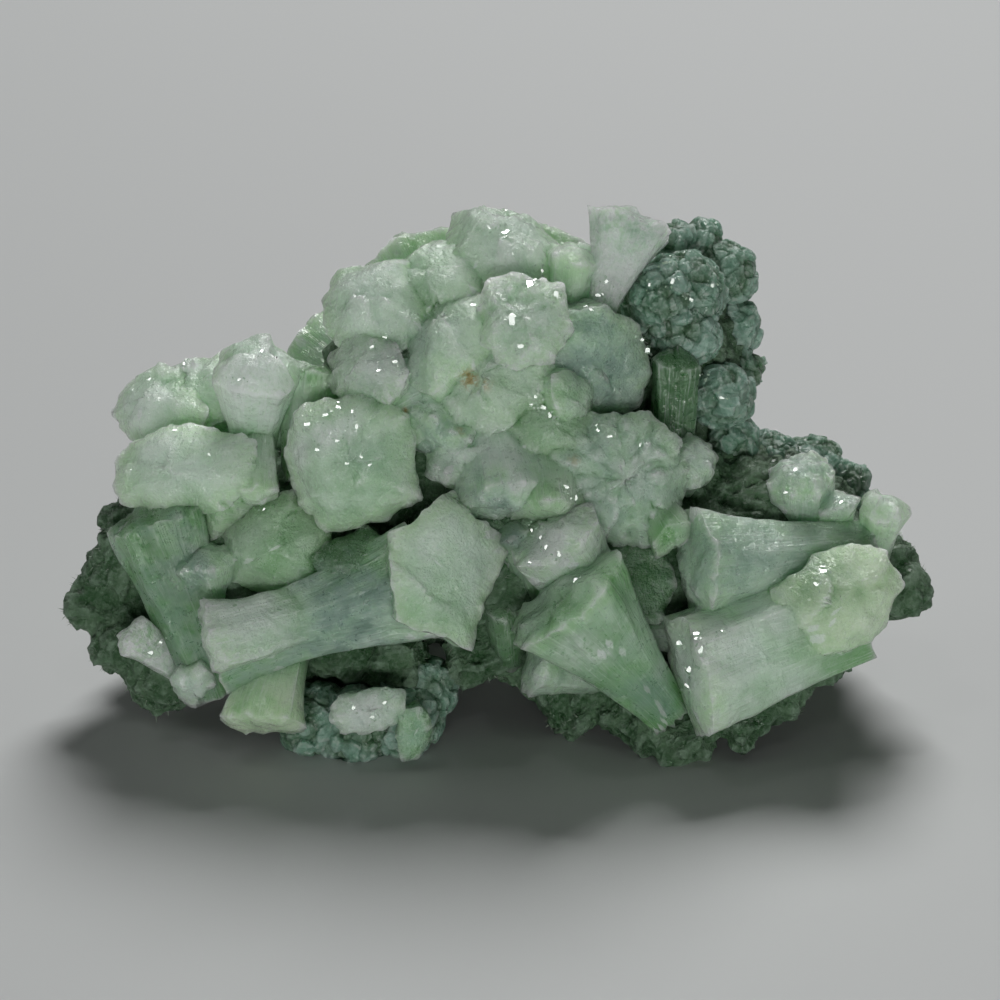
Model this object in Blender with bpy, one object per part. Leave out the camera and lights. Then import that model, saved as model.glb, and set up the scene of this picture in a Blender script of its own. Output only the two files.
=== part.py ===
"""Prehnite with byssolite: pale green prehnite fans and bow-ties grown on a dark rock that is full of byssolite.

Lengths are in millimetres until a mesh is written, which is in metres.
Front crystals are laid out as they are seen from the front, by right, up and toward; the back is laid out in X, Y, Z.
"""

import math
import random
from collections import namedtuple

import bmesh
import bpy
from mathutils import Vector, noise

MM = 0.001

# The eye that the front crystals are laid out for: how far it looks down, how far off it is, and what it aims at
LOOK_DOWN = math.radians(22)
EYE_DISTANCE = 232
AIM = Vector((0, 0, 20.2))

# The gap kept between two clusters and between a cluster and the rock, and the height of the flat underside
GAP = 0.34
ROCK_GAP = 0.44
REST_HEIGHT = 0

# The shortest edge that a Boolean may leave, and the share of its triangles that each mesh keeps: a cluster, the
# uncut rock, and the rock once the crystals' hollows are cut in it
TINY_EDGE = 0.02
CLUSTER_SHARE = 0.72
UNCUT_SHARE = 0.6
CUT_SHARE = 0.69

# The middle of the finished specimen's footprint in the layout, which becomes the origin
MIDDLE = Vector((-0.302, 0.619, 0))

SIDE_POWER = 2.8        # how square a crystal's section is: 2 is an ellipse
CORNER_SHIFT = 0.16     # radians that a corner may stray round the section
CORNER_REACH = 0.10     # share of its radius that a corner may stray
FLARE = 1.5             # how late a fan opens: 1 is a straight cone
INNER_CAP = 0.58        # radius of the ring between a cap's rim and its top, as a share of the rim's
LOW_DOME = 1.3          # a cap no higher than this has no such ring
HALFWAY = 0.55          # where a fan's sides bend, as a share of the way from its foot to its rim
STRAIGHT = 0.6          # a crystal whose waist is no narrower than this has straight sides

for old in list(bpy.data.objects):
    bpy.data.objects.remove(old)

# A crystal: foot and head in mm, width and thickness at the head, waist as a share of the head, height of the domed
# cap, turn about its own axis in degrees, number of corners, where the waist is along it, and the flare of its foot
Crystal = namedtuple("Crystal", "foot head wide thick waist dome turn corners waist_at foot_flare")
Lump = namedtuple("Lump", "centre radii")


def seen(right, up, toward):
    """The layout's point that shows this far right and up of the aim, and lies this far toward the eye."""
    near = 1 - toward / EYE_DISTANCE
    rise = up * near
    back = rise * math.sin(LOOK_DOWN) - toward * math.cos(LOOK_DOWN)
    height = rise * math.cos(LOOK_DOWN) + toward * math.sin(LOOK_DOWN)
    return AIM + Vector((right * near, back, height))


def front(foot, head, wide, thick, waist=0.5, dome=1.2, turn=0, corners=8, waist_at=0.0, foot_flare=0.0):
    """A crystal of the front, with its foot and head given as they are seen."""
    return Crystal(seen(*foot), seen(*head), wide, thick, waist, dome, turn, corners, waist_at, foot_flare)


def placed(foot, head, wide, thick, waist=0.5, dome=1.2, turn=0, corners=8, waist_at=0.0, foot_flare=0.0):
    """A crystal of the sides or the back, with its foot and head in the layout's X, Y and Z."""
    return Crystal(Vector(foot), Vector(head), wide, thick, waist, dome, turn, corners, waist_at, foot_flare)


def front_lump(right, up, toward, radius):
    return Lump(seen(right, up, toward), Vector((radius, radius, radius)))


def placed_lump(centre, radii):
    return Lump(Vector(centre), Vector(radii))


# The upper mass, from the western fans round the crown to the rosette at the middle of the front
CROWN = (
    front((-3, 14, -5), (-6.4, 21.8, 6.0), 9.6, 9.6, 0.5, 2.8, 10, 9),
    front((-1.2, 16, -6), (0.0, 25.5, 4.4), 11.6, 10.4, 0.5, 3.2, -8, 9),
    front((-9.2, 12.6, -4), (-12.4, 19.6, 7.4), 9.8, 10.6, 0.55, 3.2, 0, 9),
    front((-8.6, 9, 1), (-13.2, 12.6, 8.8), 7.4, 9.4, 0.6, 1.4, -8, 8),
    front((3, 14, 1), (2.2, 17.2, 11.6), 9.2, 9.8, 0.6, 1.4, 20, 7),
    front((9.2, 16.8, 4.4), (12.4, 26.6, 3.2), 8.6, 5.4, 0.28, 0.9, 8, 9),
    front((6, 15, 1), (7.2, 23.6, 3.6), 6.2, 5.6, 0.6, 1.0, 0, 7),
    front((5, 16, -3), (9.4, 12.2, 7.4), 10.6, 12.0, 0.75, 1.4, -20, 8),
    front((15.8, 4, 0), (16.4, 13.8, 3.6), 5.0, 4.8, 0.8, 1.0, 0, 7),
    front((-2, 11, 2), (7.2, 9.2, 9.0), 6.6, 5.4, 0.6, 0.8, 15, 7),
    front((1, 8, -3), (-1.8, 11.6, 10.2), 13, 10.5, 0.7, 2.4, 25, 9),
    front((0, 14, 4), (-12.4, 7.8, 7.0), 7.6, 6.5, 0.8, 1.0, 0, 7),
    front((-2, 12, 2), (-6.4, 4.4, 8.0), 8.4, 6.5, 0.75, 1.2, 0, 7),
    front((-1.5, 10, 4), (1.0, -1.2, 9.6), 9.2, 7, 0.72, 1.2, 0, 8),
    front((3, 9, 4), (4.8, -2.0, 9.6), 6.4, 5.4, 0.7, 1.0, 0, 7),
    front((9.5, 3, -3), (11.6, 2.0, 10), 12.8, 13.2, 0.6, 3.0, 12, 11),
    front((13, 2, 4), (16.2, -4.2, 8.6), 4.8, 3.8, 0.6, 0.5, 0, 6),
    front((16, 0, -2), (18.0, 4.2, 6.0), 4.6, 5.8, 0.8, 1.4, 0, 8),
    front((-27, 5, -7), (-32.6, 9.2, 1.8), 8.6, 10.4, 0.5, 2.0, 0, 9),
    front((-25, 6, -7), (-28.4, 11.0, 1.4), 8.6, 8.6, 0.5, 2.0, 10, 8),
    front((-22.8, 3.5, 0), (-22.4, 14.0, 7.8), 8.0, 8.0, 0.46, 2.4, 0, 9),
    front((-22.6, 7, 3), (-22.8, 0.0, 7.0), 5.2, 3.8, 0.66, 0.5, 0, 6),
    front((-18, 2, 2), (-17.2, 12.8, 3.8), 7.0, 6.4, 0.7, 0.9, 0, 7),
    front((-25.4, 0.8, -5), (-30.4, 3.2, 8.0), 13.8, 9.0, 0.5, 2.4, 0, 9),
    front((-18, -2, 1), (-27.4, 0.0, 5.6), 7, 5, 0.7, 1.0, -6, 8),
    front((-11.8, 4.4, -2), (-14.3, 3.4, 12), 12.2, 12.2, 0.62, 3.4, 22, 10),
    front((0, 8, 0), (-5.4, 16.8, 8.6), 12.0, 9.6, 0.6, 2.6, 10, 9),
    front((-4, 5, 1), (-8.4, 9.6, 8.4), 8.6, 7.4, 0.7, 1.8, 0, 8),
    front((-2, 3, 1), (-3.4, 4.8, 9.2), 8.0, 7.4, 0.7, 1.4, 12, 8),
    front((4, 6, 1), (4.8, 7.4, 9.6), 8.0, 7.0, 0.7, 1.4, 0, 8),
    placed((-3, 4, 32), (-9, 15, 40), 11, 9, 0.45, 2.0, 10, 8),
    placed((2, 4, 32), (5, 16, 40.5), 11.5, 9, 0.45, 2.2, 0, 8),
    placed((-1, 4, 30), (-2.5, 18, 33), 11.5, 10, 0.45, 2.0, 15, 9),
    placed((-9, 3, 28), (-18, 14, 31), 11, 8.5, 0.5, 2.0, 0, 8),
    placed((-21, 3, 24), (-29, 12, 25), 9.5, 8, 0.5, 1.6, 0, 8),
    placed((3, 5, 31), (13, 14, 35), 8.5, 7, 0.5, 1.1, 0, 7),
    placed((-10, 4, 26), (-12, 16.5, 25), 8.5, 7.5, 0.6, 1.1, 0, 8),
)

# The lower left: a long bow-tie lying across the front, and the fans behind and under it
WEST = (
    front((-19, -4, -2), (-21.4, -4.8, 8.6), 11.4, 10.0, 0.7, 3.0, 10, 9),
    front((-25.6, -18.0, 3), (-32.4, -0.4, 5), 9.6, 6.8, 0.6, 1.2, -6, 8),
    front((-25.5, -12, 2), (-27.6, -4.6, 6.8), 6.0, 5.2, 0.7, 1.2, 0, 7),
    front((-26.0, -14.2, 6.6), (-6, -7.2, 8.6), 11, 9, 0.62, 1.2, 0, 8, 0.35, 0.35),
    front((-15, -9.8, 7), (-27.4, -13.2, 10), 7.2, 5.0, 0.75, 0.9, 8, 7),
    front((-9.0, -8.4, 1), (-4.7, -6.6, 13), 11.6, 13.2, 0.66, 1.1, -27, 5),
    front((-20.5, -14.5, 5), (-22.4, -21.6, 8), 7.4, 5, 0.72, 0.8, 6, 7),
    front((-11, -9, -1), (-13.2, -5.4, 10.0), 8.4, 6.5, 0.7, 1.2, 0, 7),
    placed((-20, 0, 14), (-34.5, 7.5, 16), 8.5, 7.5, 0.5, 1.4, 0, 8),
)

# The bow-tie that points down to the right at the middle of the front
MIDDLE_FAN = (
    front((15.9, -20.0, 6), (5.4, -8.2, 12), 13.4, 8.6, 0.36, 1.2, 0, 9),
    front((10, -11, 3), (4.8, -2.6, 11), 8.8, 6.8, 0.7, 0.9, 0, 8),
    front((4.4, -11, 4), (0.9, -2.2, 8.6), 3.8, 4.4, 0.7, 0.6, 0, 6),
    front((10, -16, 3), (3.2, -14.2, 8), 7.6, 4.2, 0.6, 0.7, 0, 7),
    front((12, -9, -4), (11.8, -6.8, 7.2), 9.6, 8.4, 0.8, 1.4, 0, 8),
    front((12, -12, 3), (18.0, -12.6, 5.6), 3.6, 3.6, 0.8, 0.5, 0, 6),
)

# The right: a pale slab in front, a smoky fan behind it, and small crystals along the top
EAST = (
    front((34, -4.2, 3), (17.4, -6.4, 8.6), 10.6, 8.0, 0.46, 1.0, -4, 8),
    front((32.6, -10.2, 5), (17.0, -16.2, 10.4), 10.6, 7.6, 0.85, 0.6, 4, 8),
    front((29, -9, -2), (31.8, -9.8, 11), 12.6, 10.0, 0.72, 2.2, 24, 9),
    front((28, -6, -2), (27.9, 3.2, 4.6), 6.2, 5.8, 0.75, 1.4, 0, 8),
    front((30.5, -5, 0), (31.6, 0.4, 4.6), 4.2, 4.0, 0.8, 0.8, 0, 7),
    front((34.4, -7.6, 0), (35.7, 0.6, 4.6), 5.2, 5.0, 0.55, 1.6, 0, 8, 0.3, 0.5),
    front((24.2, -4, -2), (23.8, 1.4, 2.4), 4.2, 3.8, 0.8, 0.9, 0, 7),
    placed((29, -1, 12), (36.5, 7, 14.5), 8.0, 7, 0.5, 1.4, 0, 8),
)

# Small crystals that stand alone on the dark rock, on its left, at its front foot and under its middle
WEST_SMALL = (
    front((-29.4, -15.6, 2), (-34.6, -12.4, 5.4), 3.6, 3.2, 0.8, 0.5, 0, 7),
    front((-28, -14.4, 1), (-28.6, -17.7, 6), 4.4, 4.2, 0.75, 0.9, 10, 8),
)
FOOT_SMALL = (
    front((-12, -19.0, 3), (-12.4, -19.6, 9.4), 7.4, 4.6, 0.75, 0.7, 6, 7),
    front((-8.6, -19.4, 2), (-8.0, -22.0, 8.4), 3.6, 5.4, 0.75, 0.7, 0, 7),
)
KEEL_SMALL = (
    front((1.0, -15, 1), (0.4, -9.6, 5.4), 3.8, 3.4, 0.8, 0.6, 0, 7),
)

# The back, below the crown
BACK = (
    placed((0, 6, 17), (-3, 20, 21), 12, 9.5, 0.5, 2.0, 0, 9),
    placed((-2, 6, 15), (-13, 17.5, 15), 11, 9, 0.5, 2.0, 0, 8),
    placed((2, 6, 15), (9, 18.5, 16), 11, 9, 0.5, 2.0, 12, 8),
    placed((0, 6, 13), (1, 19, 9), 9.5, 8, 0.6, 1.4, 0, 8),
    placed((6, 6, 15), (20, 15, 19), 10.5, 8.5, 0.5, 1.6, 0, 8),
    placed((-4, 6, 14), (-21, 15.5, 11), 8.5, 7.5, 0.5, 1.4, 0, 8),
    placed((8, 6, 15), (12, 18, 23.5), 7.5, 6.5, 0.55, 1.0, 0, 7),
)

# The rock: its hidden core, then the lumps that show, then the dark blades of its keel
CORE = (
    placed_lump((-19, 2, 13), (16, 12, 11)),
    placed_lump((0, 3, 18), (16, 12.5, 15)),
    placed_lump((20, 3, 14), (15, 11.5, 10)),
    placed_lump((15, 10, 28), (8, 7, 11)),
    placed_lump((-5, 4, 30), (11, 8, 9)),
    placed_lump((33, -1, 13), (5, 5, 5)),
)
LUMPS = (
    front_lump(15.2, 18.6, 1.0, 3.9),
    front_lump(17.4, 19.4, 0.6, 3.6),
    front_lump(17.2, 15.6, 1.0, 3.3),
    front_lump(16.2, 23.8, -4, 2.2),
    front_lump(18.6, 23.9, -5, 2.2),
    front_lump(20.8, 20.8, -5, 3.3),
    front_lump(21.8, 16.2, -6, 2.6),
    front_lump(22.6, 12.2, -6, 2.1),
    front_lump(20.4, 9.6, -1, 3.2),
    front_lump(21.4, 5.0, -3, 3.0),
    front_lump(25.0, 2.6, -5, 3.6),
    front_lump(28.4, 2.6, -6, 3.6),
    front_lump(31.8, 1.2, -6, 2.8),
    front_lump(36.6, -5.4, -1, 2.1),
    front_lump(37.4, -8.4, 0, 2.6),
    front_lump(-37.4, -9.5, -2, 3.0),
    front_lump(-35.4, -6.6, -1, 3.2),
    front_lump(-32.8, -3.4, -1, 4.4),
    front_lump(-34.4, -12.6, -2, 3.8),
    front_lump(-31.4, -15.6, -2, 4.2),
    front_lump(-17.0, -20.6, 2, 3.8),
    front_lump(-13.0, -21.0, 2.6, 3.9),
    front_lump(-9.0, -20.2, 2.6, 3.9),
    front_lump(-6.8, -17.4, 2, 2.9),
    placed_lump((-22, 11, 4.5), (7, 6, 6)),
    placed_lump((18, 12, 4.5), (7, 6, 6)),
    placed_lump((-31, 5, 8), (6, 5, 5)),
    placed_lump((30, 7, 9), (6, 5, 5)),
    placed_lump((-25, 11, 17), (5.5, 4.5, 4)),
    placed_lump((13, 15, 29.5), (5, 4, 4)),
    placed_lump((18, 13.5, 25), (4, 4, 3.6)),
    placed_lump((18, 13, 34), (4, 4, 4.5)),
    placed_lump((26.5, 10, 16), (4.5, 4.5, 4)),
    placed_lump((1, 13.5, 26), (6, 4.5, 3.6)),
    placed_lump((-16, 13.5, 20), (5, 4, 3.6)),
    placed_lump((-7, 13, 6), (6.5, 5.5, 5.5)),
)
BLADES = (
    front((-2, -11, -1), (9.6, -20.4, 1.6), 6.5, 5, 0.75, 1.0, 0, 7),
    front((4, -14, 0), (15.4, -22.4, 4.6), 6.0, 5.5, 0.8, 1.0, 20, 7),
    front((12, -14, 0), (18.4, -24.6, 5.6), 7.0, 5.5, 0.7, 1.2, 0, 7),
    front((8, -15, -1), (-5, -14.0, 2.0), 6.0, 4.5, 0.75, 0.8, 10, 7),
    front((32, -13.5, 3), (20.6, -21.8, 6.0), 4.6, 4.4, 0.8, 0.8, 0, 7),
    front((-16, -14, 2), (-7.0, -15.6, 3.0), 6.0, 5.0, 0.8, 0.8, 0, 7),
)


def section(crystal, seed):
    """The crystal's corners round its section, as (across, through) with the width and the thickness as 1."""
    chance = random.Random(seed)
    corners = []
    for k in range(crystal.corners):
        angle = math.tau * (k + 0.5) / crystal.corners + chance.uniform(-CORNER_SHIFT, CORNER_SHIFT)
        c = math.cos(angle)
        s = math.sin(angle)
        reach = (abs(c) ** SIDE_POWER + abs(s) ** SIDE_POWER) ** (-1 / SIDE_POWER)
        reach *= 1 + chance.uniform(-CORNER_REACH, CORNER_REACH)
        corners.append((c * reach / 2, s * reach / 2))
    return corners


def axes(crystal):
    """The crystal's own directions: along its axis, across its width and through its thickness."""
    along = (crystal.head - crystal.foot).normalized()
    to_eye = seen(0, 0, 1) - seen(0, 0, 0)
    across = along.cross(to_eye)
    if across.length < 0.45:
        across = Vector((1, 0, 0)) - along * along.x
    across.normalize()
    through = along.cross(across)
    turn = math.radians(crystal.turn)
    return (
        along,
        across * math.cos(turn) + through * math.sin(turn),
        through * math.cos(turn) - across * math.sin(turn),
    )


def girth(crystal, share):
    """The crystal's size at this share of the way from foot to rim, where 1 is its size at the rim."""
    if share < crystal.waist_at:
        open_ = crystal.foot_flare * ((crystal.waist_at - share) / crystal.waist_at) ** FLARE
    else:
        open_ = ((share - crystal.waist_at) / (1 - crystal.waist_at)) ** FLARE
    return crystal.waist + (1 - crystal.waist) * open_


def crystal_mesh(crystal, seed, grow=0.0):
    """A closed faceted crystal: rings of corners from foot to rim, then a cap. One that is grown all round, to cut
    the gap about it, has straight sides and a flat cap."""
    along, across, through = axes(crystal)
    corners = section(crystal, seed)
    rim = (crystal.head - crystal.foot).length - crystal.dome
    shares = [0.0, 1.0]
    if crystal.waist_at:
        shares.insert(1, crystal.waist_at)
    elif crystal.waist < STRAIGHT and not grow:
        shares.insert(1, HALFWAY)
    rings = [(rim * share, girth(crystal, share)) for share in shares]
    rings[0] = (-grow, rings[0][1])
    if grow:
        past_rim = (rim + crystal.dome + 2 * grow) / (rim + grow)
        rings[-1] = (rim + crystal.dome + grow, crystal.waist + (1 - crystal.waist) * past_rim)
    elif crystal.dome > LOW_DOME:
        rings.append((rim + crystal.dome * (1 - INNER_CAP ** 2), INNER_CAP))
    bm = bmesh.new()
    loops = []
    for distance, size in rings:
        centre = crystal.foot + along * distance
        loops.append([
            bm.verts.new(
                centre
                + across * (x * crystal.wide * size + math.copysign(grow, x))
                + through * (y * crystal.thick * size + math.copysign(grow, y))
            )
            for x, y in corners
        ])
    for lower, upper in zip(loops, loops[1:]):
        for k in range(len(lower)):
            after = (k + 1) % len(lower)
            bm.faces.new((lower[k], lower[after], upper[after], upper[k]))
    if grow:
        bm.faces.new(loops[-1])
    else:
        top = bm.verts.new(crystal.head)
        for k in range(len(loops[-1])):
            bm.faces.new((loops[-1][k], loops[-1][(k + 1) % len(loops[-1])], top))
    bm.faces.new(list(reversed(loops[0])))
    return closed_mesh(bm)


LUMP_RELIEF = 0.16      # share of its radius that a lump's surface rises and falls
LUMP_GRAIN = 1.3        # waves of that relief across one radius
LUMP_DETAIL = 2         # how often the ball's faces are split


def lump_mesh(lump, seed):
    """A closed faceted lump: a ball stretched to the lump's radii, with a rough surface."""
    bm = bmesh.new()
    bmesh.ops.create_icosphere(bm, subdivisions=LUMP_DETAIL, radius=1)
    offset = Vector((seed * 7.1, seed * 3.3, seed * 5.7))
    for v in bm.verts:
        relief = 1 + LUMP_RELIEF * noise.noise(v.co * LUMP_GRAIN + offset)
        v.co = lump.centre + Vector((a * b for a, b in zip(v.co, lump.radii))) * relief
    return closed_mesh(bm)


def closed_mesh(bm):
    bmesh.ops.triangulate(bm, faces=bm.faces)
    bmesh.ops.recalc_face_normals(bm, faces=bm.faces)
    mesh = bpy.data.meshes.new("solid")
    bm.to_mesh(mesh)
    bm.free()
    return mesh


def united(meshes):
    """One mesh that holds all of these, which overlap."""
    return combined(meshes[0], "UNION", meshes[1:])


def without(mesh, cutters):
    return combined(mesh, "DIFFERENCE", cutters)


def reach(mesh):
    """The lowest and the highest corner of the box round a mesh."""
    corners = [v.co for v in mesh.vertices]
    low = Vector([min(co[i] for co in corners) for i in range(3)])
    high = Vector([max(co[i] for co in corners) for i in range(3)])
    return low, high


def apart(mesh, other):
    low, high = reach(mesh)
    other_low, other_high = reach(other)
    return any(low[i] > other_high[i] or other_low[i] > high[i] for i in range(3))


def combined(mesh, operation, others):
    """This mesh joined to the others or cut by them, as the one largest body that is left."""
    scene = bpy.context.scene.collection
    obj = bpy.data.objects.new("base", mesh)
    scene.objects.link(obj)
    result = mesh
    for other in others:
        if operation == "DIFFERENCE" and apart(result, other):
            continue
        helper = bpy.data.objects.new("helper", other)
        scene.objects.link(helper)
        helper.hide_render = True
        helper.display_type = "WIRE"
        boolean = obj.modifiers.new("boolean", "BOOLEAN")
        boolean.operation = operation
        boolean.solver = "EXACT"
        boolean.object = helper
        graph = bpy.context.evaluated_depsgraph_get()
        result = bpy.data.meshes.new_from_object(obj.evaluated_get(graph))
        obj.modifiers.clear()
        obj.data = result
        bpy.data.objects.remove(helper)
    bpy.data.objects.remove(obj)
    return largest_body(result)


def largest_body(mesh):
    """The mesh in triangles, without loose crumbs and sealed hollows."""
    bm = bmesh.new()
    bm.from_mesh(mesh)
    bmesh.ops.dissolve_degenerate(bm, dist=TINY_EDGE, edges=bm.edges)
    bmesh.ops.triangulate(bm, faces=bm.faces)
    unseen = set(bm.faces)
    bodies = []
    while unseen:
        body = {unseen.pop()}
        newest = list(body)
        while newest:
            face = newest.pop()
            for near in {other for edge in face.edges for other in edge.link_faces} & unseen:
                unseen.discard(near)
                body.add(near)
                newest.append(near)
        bodies.append(body)
    kept = max(bodies, key=len)
    crumbs = [face for body in bodies if body is not kept for face in body]
    bmesh.ops.delete(bm, geom=crumbs, context="FACES")
    loose = [v for v in bm.verts if not v.link_faces]
    bmesh.ops.delete(bm, geom=loose, context="VERTS")
    clean = bpy.data.meshes.new("solid")
    bm.to_mesh(clean)
    bm.free()
    return clean


def lightened(mesh, share):
    """The mesh with this share of its triangles, given up where its faces are flattest and its edges shortest."""
    obj = bpy.data.objects.new("base", mesh)
    bpy.context.scene.collection.objects.link(obj)
    decimate = obj.modifiers.new("decimate", "DECIMATE")
    decimate.ratio = share
    graph = bpy.context.evaluated_depsgraph_get()
    result = bpy.data.meshes.new_from_object(obj.evaluated_get(graph))
    bpy.data.objects.remove(obj)
    return result


def ground_flat(mesh):
    """The mesh cut off level at the height that it rests on."""
    bm = bmesh.new()
    bm.from_mesh(mesh)
    cut = bmesh.ops.bisect_plane(
        bm,
        geom=bm.verts[:] + bm.edges[:] + bm.faces[:],
        plane_co=(0, 0, REST_HEIGHT),
        plane_no=(0, 0, 1),
        clear_inner=True,
    )
    open_edges = [item for item in cut["geom_cut"] if isinstance(item, bmesh.types.BMEdge)]
    bmesh.ops.holes_fill(bm, edges=open_edges)
    return closed_mesh(bm)


def material(name, colour, roughness):
    made = bpy.data.materials.new(name)
    made.use_nodes = True
    surface = made.node_tree.nodes["Principled BSDF"]
    surface.inputs["Base Color"].default_value = (*colour, 1)
    surface.inputs["Roughness"].default_value = roughness
    surface.inputs["Metallic"].default_value = 0
    return made


def node(name, mesh, finish):
    """The finished node: the mesh in metres, about the specimen's own origin."""
    for v in mesh.vertices:
        v.co = (v.co - MIDDLE) * MM
    mesh.shade_flat()
    mesh.materials.clear()
    mesh.materials.append(finish)
    obj = bpy.data.objects.new(name, mesh)
    bpy.context.scene.collection.objects.link(obj)
    return obj


PALE = material("prehnite", (0.48, 0.62, 0.45), 0.3)
FROST = material("frosted_prehnite", (0.58, 0.64, 0.56), 0.45)
DARK = material("byssolite_rock", (0.07, 0.10, 0.06), 0.7)

GROUPS = (
    ("prehnite_crown", CROWN, PALE),
    ("prehnite_west", WEST, PALE),
    ("prehnite_middle_fan", MIDDLE_FAN, PALE),
    ("prehnite_east", EAST, PALE),
    ("small_prehnite_west", WEST_SMALL, FROST),
    ("small_prehnite_foot", FOOT_SMALL, FROST),
    ("small_prehnite_keel", KEEL_SMALL, PALE),
    ("prehnite_back", BACK, PALE),
)

earlier = []
for order, (name, crystals, finish) in enumerate(GROUPS):
    seeded = [(crystal, order * 100 + k) for k, crystal in enumerate(crystals)]
    cluster = united([crystal_mesh(crystal, seed) for crystal, seed in seeded])
    if earlier:
        cluster = without(cluster, [crystal_mesh(crystal, seed, GAP) for crystal, seed in earlier])
    node(name, lightened(cluster, CLUSTER_SHARE), finish)
    earlier += seeded

lumps = [lump_mesh(lump, k) for k, lump in enumerate(CORE + LUMPS)]
blades = [crystal_mesh(blade, k) for k, blade in enumerate(BLADES)]
rock = lightened(united(lumps + blades), UNCUT_SHARE)
rock = without(rock, [crystal_mesh(crystal, seed, ROCK_GAP) for crystal, seed in earlier])
node("byssolite_rock", ground_flat(lightened(rock, CUT_SHARE)), DARK)
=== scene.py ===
"""The looks of the prehnite with byssolite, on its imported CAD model.

Lengths are in millimetres until a mesh is written, which is in metres. Every crystal of the model is made again
with the fine blocks, steps and streaks of the real ones, fused with its neighbours, and the rock gets its grain,
its rosettes and its byssolite needles.
"""

import math
import random
from collections import namedtuple

import bmesh
import bpy
import numpy as np
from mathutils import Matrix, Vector, bvhtree, kdtree, noise


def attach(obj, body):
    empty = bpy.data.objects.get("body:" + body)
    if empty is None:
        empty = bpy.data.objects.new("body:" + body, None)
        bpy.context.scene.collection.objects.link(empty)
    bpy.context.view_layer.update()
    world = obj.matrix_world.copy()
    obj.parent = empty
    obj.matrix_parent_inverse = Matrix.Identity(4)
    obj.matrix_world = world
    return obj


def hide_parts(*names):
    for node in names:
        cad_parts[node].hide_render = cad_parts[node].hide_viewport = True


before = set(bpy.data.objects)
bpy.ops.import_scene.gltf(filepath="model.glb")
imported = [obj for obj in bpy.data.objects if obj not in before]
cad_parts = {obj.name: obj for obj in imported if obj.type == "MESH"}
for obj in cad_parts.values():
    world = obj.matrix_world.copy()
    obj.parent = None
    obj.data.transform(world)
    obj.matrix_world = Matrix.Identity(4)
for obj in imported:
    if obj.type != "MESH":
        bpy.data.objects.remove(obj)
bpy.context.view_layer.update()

MM = 0.001
LOOK_DOWN = math.radians(22)
TOWARD_EYE = Vector((0, -math.cos(LOOK_DOWN), math.sin(LOOK_DOWN)))
EYE_DISTANCE = 232
AIM = Vector((0, 0, 20.2))
MIDDLE = Vector((-0.302, 0.619, 0))

# The length of a crystal mesh's edges, and of the rock's
EDGE = 0.32
ROCK_EDGE = 0.45

# How often a crystal's outline is smoothed, and how often the creases between crystals are filled
ROUNDING = 1
GROWN_TIMES = 3

# A section's roundness, how far its corners stray, and how a fan opens toward its rim
SIDE_POWER = 2.8
CORNER_SHIFT = 0.16
CORNER_REACH = 0.10
FLARE = 1.5

Crystal = namedtuple("Crystal", "foot head wide thick waist dome turn corners waist_at foot_flare tone")
Lump = namedtuple("Lump", "centre radii")

# The first lamps light the specimen, the others only glint in its small flat faces
GENERAL_LAMPS = 3
NEEDLE_COUNT = 22000
SMALL_LUMP = 2.95


def seen(right, up, toward):
    """The layout's point that shows this far right and up of the aim, and lies this far toward the eye."""
    near = 1 - toward / EYE_DISTANCE
    rise = up * near
    back = rise * math.sin(LOOK_DOWN) - toward * math.cos(LOOK_DOWN)
    height = rise * math.cos(LOOK_DOWN) + toward * math.sin(LOOK_DOWN)
    return AIM + Vector((right * near, back, height))


def placed(foot, head, wide, thick, waist=0.5, dome=1.2, turn=0, corners=8, waist_at=0.0, foot_flare=0.0,
           tone="pale"):
    """A crystal with its foot and head in the layout's X, Y and Z."""
    return Crystal(Vector(foot), Vector(head), wide, thick, waist, dome, turn, corners, waist_at, foot_flare, tone)


def front(foot, head, *sizes, **more):
    """A crystal of the front, with its foot and head given as they are seen."""
    return placed(seen(*foot), seen(*head), *sizes, **more)


def front_lump(right, up, toward, radius):
    return Lump(seen(right, up, toward), Vector((radius, radius, radius)))


def placed_lump(centre, radii):
    return Lump(Vector(centre), Vector(radii))


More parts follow.
